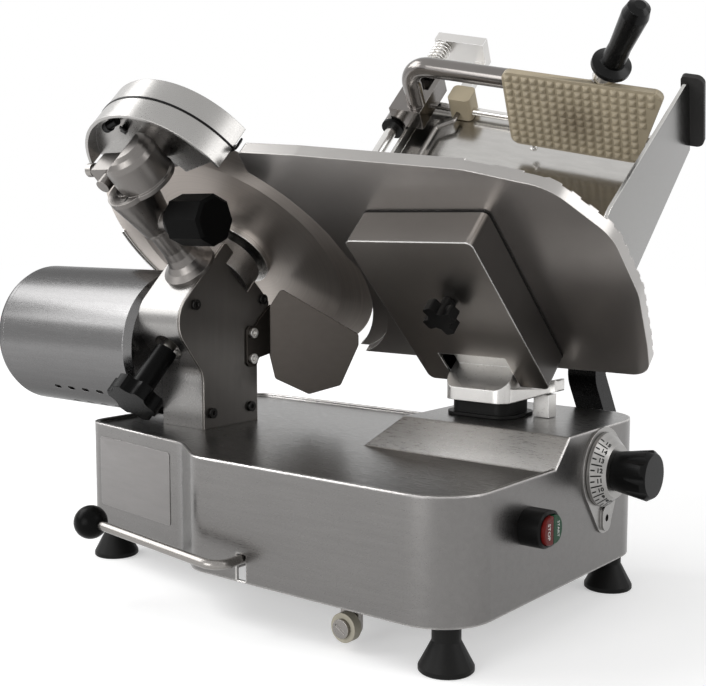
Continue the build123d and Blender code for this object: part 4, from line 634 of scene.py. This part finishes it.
# Marks
class SLICER_OT_dial_marks(bpy.types.Operator):
    """Lay the numbers and graduation lines on the cone of the thickness dial"""

    bl_idname = "slicer.dial_marks"
    bl_label = "Dial marks"

    rim = 31.0 * MM
    top = 22.0 * MM
    lip = 3.0 * MM
    number_line = (3.8 * MM, 1.3 * MM)
    half_line = (9.4 * MM, 1.2 * MM)
    line_gap = 0.3 * MM
    line_lift = 0.09 * MM
    number_gap = 8.0 * MM
    number_lift = 0.16 * MM
    number_bold = 0.2 * MM

    def on_cone(self, angle, inward, lift):
        """Place at a distance from the rim along the cone, with x towards the knob"""
        low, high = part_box("index_dial")
        drop = high[0] - low[0] - self.lip
        out = Vector((0, math.cos(angle), math.sin(angle)))
        along = (drop * Vector((1, 0, 0)) - (self.rim - self.top) * out).normalized()
        up = Vector((0, math.sin(angle), -math.cos(angle)))
        start = Vector((low[0] + self.lip, DIAL_CENTRE.y, DIAL_CENTRE.z)) + self.rim * out
        place = axes(start, along, up)
        return place @ Matrix.Translation((inward, 0, lift))

    def line(self, size, width):
        deselect()
        bpy.ops.mesh.primitive_plane_add(size=1.0, location=(0, 0, 0))
        piece = bpy.context.object
        piece.scale = (size, width, 1)
        apply_place(piece, Matrix.Identity(4))
        edit(piece)
        bpy.ops.mesh.bevel(offset=width * 0.4, segments=3, affect="VERTICES")
        return close(piece)

    def execute(self, context):
        trim = context.scene.slicer_trim
        pieces = []
        marks = (self.line(*self.number_line), self.line(*self.half_line))
        for step in range(trim.dial_top * 2 + 1):
            angle = trim.dial_first - trim.dial_step * step / 2
            mark = marks[step % 2]
            line = mark.copy()
            line.data = mark.data.copy()
            context.scene.collection.objects.link(line)
            apply_place(line, self.on_cone(angle, mark.dimensions.x / 2 + self.line_gap, self.line_lift))
            pieces.append(line)
            if step % 2 == 0:
                number = lettering(str(step // 2), trim.digit, self.number_bold)
                apply_place(number, self.on_cone(angle, self.number_gap, self.number_lift))
                pieces.append(number)
        for mark in marks:
            bpy.data.objects.remove(mark)
        ink = plastic("dial_ink", context.scene.slicer_finish.ink[:], 0.45)
        settle(joined(pieces), "dial_marks", Matrix.Identity(4), "index", ink)
        return {"FINISHED"}


class SLICER_OT_button_words(bpy.types.Operator):
    """Print STOP and START on the two buttons"""

    bl_idname = "slicer.button_words"
    bl_label = "Button words"

    height = 6.0 * MM
    lift = 0.06 * MM

    def execute(self, context):
        shade = context.scene.slicer_finish.word[:]
        ink = plastic("word_ink", shade, 0.40, grain=900.0, bump=0.03, vary=0.04, wear_and_glint=1.0)
        for words, body, node in (("STOP", "stop", "stop_button"), ("START", "start", "start_button")):
            low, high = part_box(node)
            piece = lettering(words, self.height)
            fit = context.scene.slicer_trim.word / max(piece.dimensions.x, 1e-6)
            piece.scale = (fit, min(fit, 1.0), 1)
            middle = Vector((high[0] + self.lift, (low[1] + high[1]) / 2, (low[2] + high[2]) / 2))
            place = axes(middle, Vector((0, 0, -1)), Vector((0, 1, 0)))
            settle(piece, body + "_word", place, body, ink)
        return {"FINISHED"}


# Trim
class SLICER_OT_sharpener_trim(bpy.types.Operator):
    """Model the gasket, washer, thumb screw, clips and pin of the sharpener"""

    bl_idname = "slicer.sharpener_trim"
    bl_label = "Sharpener trim"

    # Places in the knife's frame, in millimetres
    gasket_at = (8.3, 109.8, 6.0)
    washer_at = (36.5, 98.0, 60.0)
    screw_at = (-22.0, 177.0, 21.2)
    screw_clip_at = (-15.0, 165.5, 16.9)
    cap_clip_at = (79.0, 127.4, 4.5)
    pin_at = (12.0, 135.0, 74.5)

    gasket_radius = 85.9 * MM
    gasket_section = (1.2 * MM, 2.0 * MM, 1)
    gasket_sweep = math.radians(143)
    gasket_start = math.radians(158)
    gasket_steps = 72
    screw_way = Vector((20.0, 6.5, 0))
    screw_clip_turn = math.radians(40)
    cap_clip_turn = math.radians(15)
    # Each clip's first length, then its steps along and up
    screw_clip_run = ((7 * MM, 0), (2 * MM, 1.5 * MM), (2 * MM, 3 * MM), (4 * MM, 0.6 * MM))
    cap_clip_run = ((14 * MM, 0), (4 * MM, 0.4 * MM), (4 * MM, 1.2 * MM), (5 * MM, 2.6 * MM))

    def gasket(self, black):
        deselect()
        bpy.ops.mesh.primitive_plane_add(
            size=1.0, location=(self.gasket_radius, 0, 0), rotation=(math.pi / 2, 0, 0)
        )
        piece = bpy.context.object
        piece.scale = self.gasket_section
        apply_place(piece, Matrix.Identity(4))
        edit(piece)
        bpy.ops.mesh.spin(
            steps=self.gasket_steps, angle=self.gasket_sweep, center=(0, 0, 0), axis=(0, 0, 1)
        )
        bpy.ops.mesh.select_all(action="SELECT")
        bpy.ops.mesh.remove_doubles(threshold=1e-6)
        bpy.ops.mesh.normals_make_consistent(inside=False)
        close(piece)
        place = knife_place(*self.gasket_at) @ Matrix.Rotation(self.gasket_start, 4, "Z")
        settle(piece, "cap_gasket", place, "sharpener", black)

    def washer(self, black):
        deselect()
        bpy.ops.mesh.primitive_cylinder_add(vertices=64, radius=16 * MM, depth=6.4 * MM)
        piece = bpy.context.object
        edit(piece, lambda middle, normal: abs(normal.z) > 0.9)
        bpy.ops.mesh.inset(thickness=10.4 * MM)
        bpy.ops.mesh.bridge_edge_loops()
        close(piece)
        bevel(piece, 0.7 * MM, 3)
        place = knife_place(*self.washer_at) @ Matrix.Rotation(math.pi / 2, 4, "Y")
        settle(piece, "clamp_washer", place, "sharpener", black)

    def thumb_screw(self, black):
        deselect()
        bpy.ops.mesh.primitive_cylinder_add(vertices=36, radius=5 * MM, depth=7 * MM)
        piece = bpy.context.object
        edit(piece, lambda middle, normal: normal.z > 0.9)
        bpy.ops.mesh.inset(thickness=1.5 * MM)
        bpy.ops.mesh.extrude_region_move(TRANSFORM_OT_translate={"value": (0, 0, 14 * MM)})
        close(piece)
        edit(piece, lambda middle, normal: abs(normal.z) < 0.1 and middle.z < 3 * MM)
        bpy.ops.mesh.inset(thickness=0.18 * MM, depth=-0.35 * MM, use_individual=True)
        close(piece)
        bevel(piece, 0.35 * MM, 2, 60)
        along = self.screw_way.normalized()
        turn = Vector((0, 0, 1)).rotation_difference(along).to_matrix().to_4x4()
        place = knife_place(*self.screw_at) @ turn
        settle(piece, "thumb_screw", place, "sharpener", black)

    def strip(self, width, moves, thickness):
        """A spring strip: a plane whose end edge is drawn out step by step"""
        deselect()
        bpy.ops.mesh.primitive_plane_add(size=1.0)
        piece = bpy.context.object
        first = moves[0]
        piece.scale = (first[0], width, 1)
        apply_place(piece, Matrix.Translation((first[0] / 2, 0, 0)))
        edit(piece)
        bpy.ops.mesh.select_mode(type="EDGE")
        bpy.ops.mesh.select_all(action="DESELECT")
        mesh = bmesh.from_edit_mesh(piece.data)
        for edge in mesh.edges:
            edge.select_set(all(point.co.x > first[0] * 0.9 for point in edge.verts))
        bmesh.update_edit_mesh(piece.data)
        for x, z in moves[1:]:
            bpy.ops.mesh.extrude_region_move(TRANSFORM_OT_translate={"value": (x, 0, z)})
        close(piece)
        modify(piece, "SOLIDIFY", thickness=thickness, offset=0.0)
        bevel(piece, thickness * 0.3, 2)
        return piece

    def clips(self, black):
        clip = self.strip(6 * MM, self.screw_clip_run, 1.6 * MM)
        place = knife_place(*self.screw_clip_at) @ Matrix.Rotation(self.screw_clip_turn, 4, "Z")
        settle(clip, "screw_clip", place, "sharpener", black)
        clip = self.strip(7 * MM, self.cap_clip_run, 2.0 * MM)
        place = knife_place(*self.cap_clip_at) @ Matrix.Rotation(self.cap_clip_turn, 4, "Z")
        place = place @ Matrix.Rotation(math.radians(-90), 4, "X")
        settle(clip, "cap_clip", place, "sharpener", black)

    def pin(self, black):
        deselect()
        bpy.ops.mesh.primitive_cylinder_add(vertices=32, radius=3.2 * MM, depth=6 * MM)
        piece = bpy.context.object
        edit(piece, lambda middle, normal: normal.z > 0.9)
        bpy.ops.mesh.inset(thickness=1.0 * MM)
        bpy.ops.mesh.extrude_region_move(TRANSFORM_OT_translate={"value": (0, 0, 1.6 * MM)})
        close(piece)
        bevel(piece, 0.6 * MM, 3)
        settle(piece, "collar_pin", knife_place(*self.pin_at), "sharpener", black)

    def execute(self, context):
        black = plastic("trim_black", context.scene.slicer_finish.black[:], 0.30)
        self.gasket(black)
        self.washer(black)
        self.thumb_screw(black)
        self.clips(black)
        self.pin(black)
        return {"FINISHED"}


class SLICER_OT_pusher_face(bpy.types.Operator):
    """Mould the close rows of studs on the pusher plate, and its small bolt"""

    bl_idname = "slicer.pusher_face"
    bl_label = "Pusher plate studs"

    # Sizes in the tray's frame: the plate's front, its rows of studs and its slanted right edge
    front = -184.0 * MM
    first_row = 23.0 * MM
    last_row = 101.0 * MM
    first_stud = 226.8 * MM
    lower_edge = 17.0 * MM
    right_edge = 340.0 * MM
    right_lean = 0.318
    stud_height = 2.9 * MM
    stud_width = 0.9
    stud_top = (0.34, 0.34, 1)
    sink = 0.2 * MM
    brown_spot = Vector((290.0 * MM, 58.0 * MM, -184.0 * MM))
    bolt_at = (242.0 * MM, 13.2 * MM, -187.0 * MM)

    def slab(self, place):
        """The plate itself, with its coarse studs pressed flat"""
        piece = NODES["pusher_plate"].copy()
        piece.data = NODES["pusher_plate"].data.copy()
        piece.parent = None
        piece.matrix_world = Matrix.Identity(4)
        bpy.context.scene.collection.objects.link(piece)
        apply_place(piece, place.inverted())
        edit(piece)
        bpy.ops.mesh.remove_doubles(threshold=1e-6)
        bpy.ops.mesh.select_mode(type="VERT")
        bpy.ops.mesh.select_all(action="DESELECT")
        mesh = bmesh.from_edit_mesh(piece.data)
        for point in mesh.verts:
            point.select_set(point.co.z > self.front + self.sink)
        bmesh.update_edit_mesh(piece.data)
        bpy.ops.transform.resize(value=(1, 1, 0), center_override=(0, 0, self.front))
        return close(piece)

    def stud(self, size, height):
        deselect()
        bpy.ops.mesh.primitive_cube_add(size=1.0, location=(0, 0, height / 2))
        piece = bpy.context.object
        piece.scale = (size, size, height)
        apply_place(piece, Matrix.Identity(4))
        edit(piece, lambda middle, normal: normal.z > 0.9)
        bpy.ops.transform.resize(value=self.stud_top)
        close(piece)
        bevel(piece, 0.9 * MM, 2, 20)
        return piece

    def bolt(self, place, steel):
        """Small bolt under the lower edge of the plate"""
        deselect()
        bpy.ops.mesh.primitive_cylinder_add(vertices=20, radius=2.2 * MM, depth=8.4 * MM)
        shank = bpy.context.object
        deselect()
        bpy.ops.mesh.primitive_cylinder_add(
            vertices=6, radius=3.9 * MM, depth=3 * MM, location=(0, 0, -1.6 * MM)
        )
        piece = joined([bpy.context.object, shank])
        apply_place(piece, Matrix.Rotation(math.radians(-90), 4, "X"))
        bevel(piece, 0.4 * MM, 2, 40)
        place = place @ Matrix.Translation(self.bolt_at)
        settle(piece, "pusher_bolt", place, "pusher", steel)

    def execute(self, context):
        look = context.scene.slicer_finish
        pitch = context.scene.slicer_trim.stud
        place = knife_place() @ Matrix.Rotation(-TRAY_TURN, 4, "Z")
        self.bolt(place, polished_metal("bolt_steel", look.rod[:], 0.18))
        pieces = [self.slab(place)]
        stud = self.stud(pitch * self.stud_width, self.stud_height)
        y = self.first_row
        while y < self.last_row:
            x = self.first_stud
            while x < self.right_edge + (y - self.lower_edge) * self.right_lean:
                copy = stud.copy()
                copy.data = stud.data.copy()
                context.scene.collection.objects.link(copy)
                apply_place(copy, Matrix.Translation((x, y, self.front - self.sink)))
                pieces.append(copy)
                x += pitch
            y += pitch
        bpy.data.objects.remove(stud)
        ivory = spotted_ivory("ivory_studs", look.ivory[:], place @ self.brown_spot)
        piece = settle(joined(pieces), "pusher_face", place, "pusher", ivory)
        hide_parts("pusher_plate")
        return {"FINISHED"}


class SLICER_OT_blank_plate(bpy.types.Operator):
    """Lay a bare plate on the set-back panel of the base"""

    bl_idname = "slicer.blank_plate"
    bl_label = "Blank plate"

    # The panel's two ends, and the middle of the plate from the first end and the table
    start = Vector((-29.6 * MM, -163.2 * MM, 0))
    end = Vector((-184.6 * MM, -139.2 * MM, 0))
    inset = 77 * MM
    height = Vector((0, 0, 88 * MM))
    corner = 3 * MM
    border = 1.2 * MM
    relief = 0.15 * MM
    thickness = 0.5 * MM

    def execute(self, context):
        trim = context.scene.slicer_trim
        steel = brushed_metal("plate_aluminium", context.scene.slicer_finish.plate[:], 0.34, LONG_GRAIN)
        along = (self.start - self.end).normalized()
        middle = self.start - along * self.inset + self.height
        place = axes(middle, along, Vector((0, 0, 1)))
        deselect()
        bpy.ops.mesh.primitive_plane_add(size=1.0)
        plate = bpy.context.object
        plate.scale = (trim.plate_width, trim.plate_height, 1)
        apply_place(plate, Matrix.Identity(4))
        edit(plate)
        bpy.ops.mesh.bevel(offset=self.corner, segments=6, affect="VERTICES")
        bpy.ops.mesh.inset(thickness=self.border)
        bpy.ops.transform.translate(value=(0, 0, self.relief))
        close(plate)
        modify(plate, "SOLIDIFY", thickness=self.thickness, offset=1.0)
        settle(plate, "blank_plate", place, "base", steel)
        return {"FINISHED"}


class SLICER_OT_box_gasket(bpy.types.Operator):
    """Lay the dark seam round the gauge box, open where the block enters"""

    bl_idname = "slicer.box_gasket"
    bl_label = "Gauge box seam"

    # Place in the knife's frame, in millimetres
    seam_at = (270.0, -19.5, 22.0)
    outline = (124.5 * MM, 179.5 * MM, 1)
    corner = 6.2 * MM
    width = 1.2 * MM
    height = 1.6 * MM
    opening = -88 * MM

    def execute(self, context):
        deselect()
        bpy.ops.mesh.primitive_plane_add(size=1.0)
        piece = bpy.context.object
        piece.scale = self.outline
        apply_place(piece, Matrix.Identity(4))
        edit(piece)
        bpy.ops.mesh.bevel(offset=self.corner, segments=6, affect="VERTICES")
        bpy.ops.mesh.inset(thickness=self.width)
        bpy.ops.mesh.delete(type="FACE")
        close(piece)
        edit(piece, lambda middle, normal: middle.y < self.opening)
        bpy.ops.mesh.delete(type="FACE")
        close(piece)
        modify(piece, "SOLIDIFY", thickness=self.height, offset=0.0)
        black = plastic("seam_black", context.scene.slicer_finish.black[:], 0.5)
        settle(piece, "box_gasket", knife_place(*self.seam_at), "gauge", black)
        return {"FINISHED"}


# Stage
def shown_rays(tree):
    path = tree.nodes.new("ShaderNodeLightPath")
    seen = maths(tree, "ADD", path.outputs["Is Camera Ray"], path.outputs["Is Glossy Ray"])
    return maths(tree, "ADD", seen, path.outputs["Is Transmission Ray"])


def studio_floor():
    material, tree, shader = blank_material("studio_floor")
    cloud = noise(tree, mapped(tree), 3.0)
    tree.links.new(tint(tree, cloud, FLOOR_GREY, 0.01), shader.inputs["Base Color"])
    shader.inputs["Roughness"].default_value = 0.9
    shader.inputs["Specular IOR Level"].default_value = 0.0
    shader.inputs["Emission Color"].default_value = (1, 1, 1, 1)
    # The floor's painted glow brightens to the background's white away from the machine, and is weaker near
    # it, a painted shade round the machine
    glow = spread(tree, distance(tree, mapped(tree)), 0.42, 0.64, 0.5, 1.6)
    tree.links.new(maths(tree, "MULTIPLY", shown_rays(tree), glow), shader.inputs["Emission Strength"])
    return material


def studio_world(scene):
    world = bpy.data.worlds.new("studio")
    scene.world = world
    world.use_nodes = True
    tree = world.node_tree
    background = tree.nodes["Background"]
    background.inputs["Color"].default_value = (1, 1, 1, 1)
    tree.links.new(spread(tree, shown_rays(tree), 0.45, 1.0, 0.0, 1.0), background.inputs["Strength"])


def studio_lamp(name, place, size, power):
    light = bpy.data.lights.new(name, "AREA")
    light.size = size
    light.energy = power
    lamp = bpy.data.objects.new(name, light)
    bpy.context.scene.collection.objects.link(lamp)
    lamp.location = place
    lamp.rotation_euler = (LAMP_AIM - Vector(place)).to_track_quat("-Z", "Y").to_euler()


class SLICER_OT_stage(bpy.types.Operator):
    """Set the floor, the studio light and the camera"""

    bl_idname = "slicer.stage"
    bl_label = "Stage"

    def execute(self, context):
        scene = context.scene
        view = scene.slicer_stage
        deselect()
        bpy.ops.mesh.primitive_plane_add(size=FLOOR_SIZE, location=(0, 0, 0))
        floor = context.object
        floor.name = "studio_floor"
        floor.data.materials.append(studio_floor())
        studio_world(scene)
        for name, place, size, power in LAMPS:
            studio_lamp(name, place, size, power)
        lens = bpy.data.cameras.new("photo_view")
        lens.lens = view.lens
        lens.sensor_width = SENSOR_WIDTH
        lens.clip_start = NEAR_CLIP
        camera = bpy.data.objects.new("photo_view", lens)
        scene.collection.objects.link(camera)
        flat = math.cos(view.elevation)
        forward = Vector(
            (-math.sin(view.azimuth) * flat, math.cos(view.azimuth) * flat, -math.sin(view.elevation))
        )
        camera.location = view.eye
        camera.rotation_euler = forward.to_track_quat("-Z", "Y").to_euler()
        scene.camera = camera
        scene.view_settings.view_transform = "Standard"
        return {"FINISHED"}


class SLICER_PT_sidebar(bpy.types.Panel):
    """Slicer pieces and finishes"""

    bl_idname = "SLICER_PT_sidebar"
    bl_label = "Food slicer"
    bl_space_type = "VIEW_3D"
    bl_region_type = "UI"
    bl_category = "Slicer"

    def draw(self, context):
        layout = self.layout
        scene = context.scene
        for group in (scene.slicer_finish, scene.slicer_trim, scene.slicer_stage):
            for name in group.__annotations__:
                layout.prop(group, name)
        for operator in OPERATORS:
            layout.operator(operator.bl_idname)


OPERATORS = (
    SLICER_OT_sheet_metal,
    SLICER_OT_castings,
    SLICER_OT_steel,
    SLICER_OT_plastics,
    SLICER_OT_dial_marks,
    SLICER_OT_button_words,
    SLICER_OT_sharpener_trim,
    SLICER_OT_pusher_face,
    SLICER_OT_blank_plate,
    SLICER_OT_box_gasket,
    SLICER_OT_stage,
)
CLASSES = (SlicerFinish, SlicerTrim, SlicerStage) + OPERATORS + (SLICER_PT_sidebar,)


def register():
    for item in CLASSES:
        bpy.utils.register_class(item)
    bpy.types.Scene.slicer_finish = bpy.props.PointerProperty(type=SlicerFinish)
    bpy.types.Scene.slicer_trim = bpy.props.PointerProperty(type=SlicerTrim)
    bpy.types.Scene.slicer_stage = bpy.props.PointerProperty(type=SlicerStage)


def unregister():
    del bpy.types.Scene.slicer_stage
    del bpy.types.Scene.slicer_trim
    del bpy.types.Scene.slicer_finish
    for item in reversed(CLASSES):
        bpy.utils.unregister_class(item)


def main():
    register()
    deselect()
    bpy.ops.slicer.sheet_metal()
    bpy.ops.slicer.castings()
    bpy.ops.slicer.steel()
    bpy.ops.slicer.plastics()
    bpy.ops.slicer.dial_marks()
    bpy.ops.slicer.button_words()
    bpy.ops.slicer.sharpener_trim()
    bpy.ops.slicer.pusher_face()
    bpy.ops.slicer.blank_plate()
    bpy.ops.slicer.box_gasket()
    bpy.ops.slicer.stage()


if __name__ == "__main__":
    main()
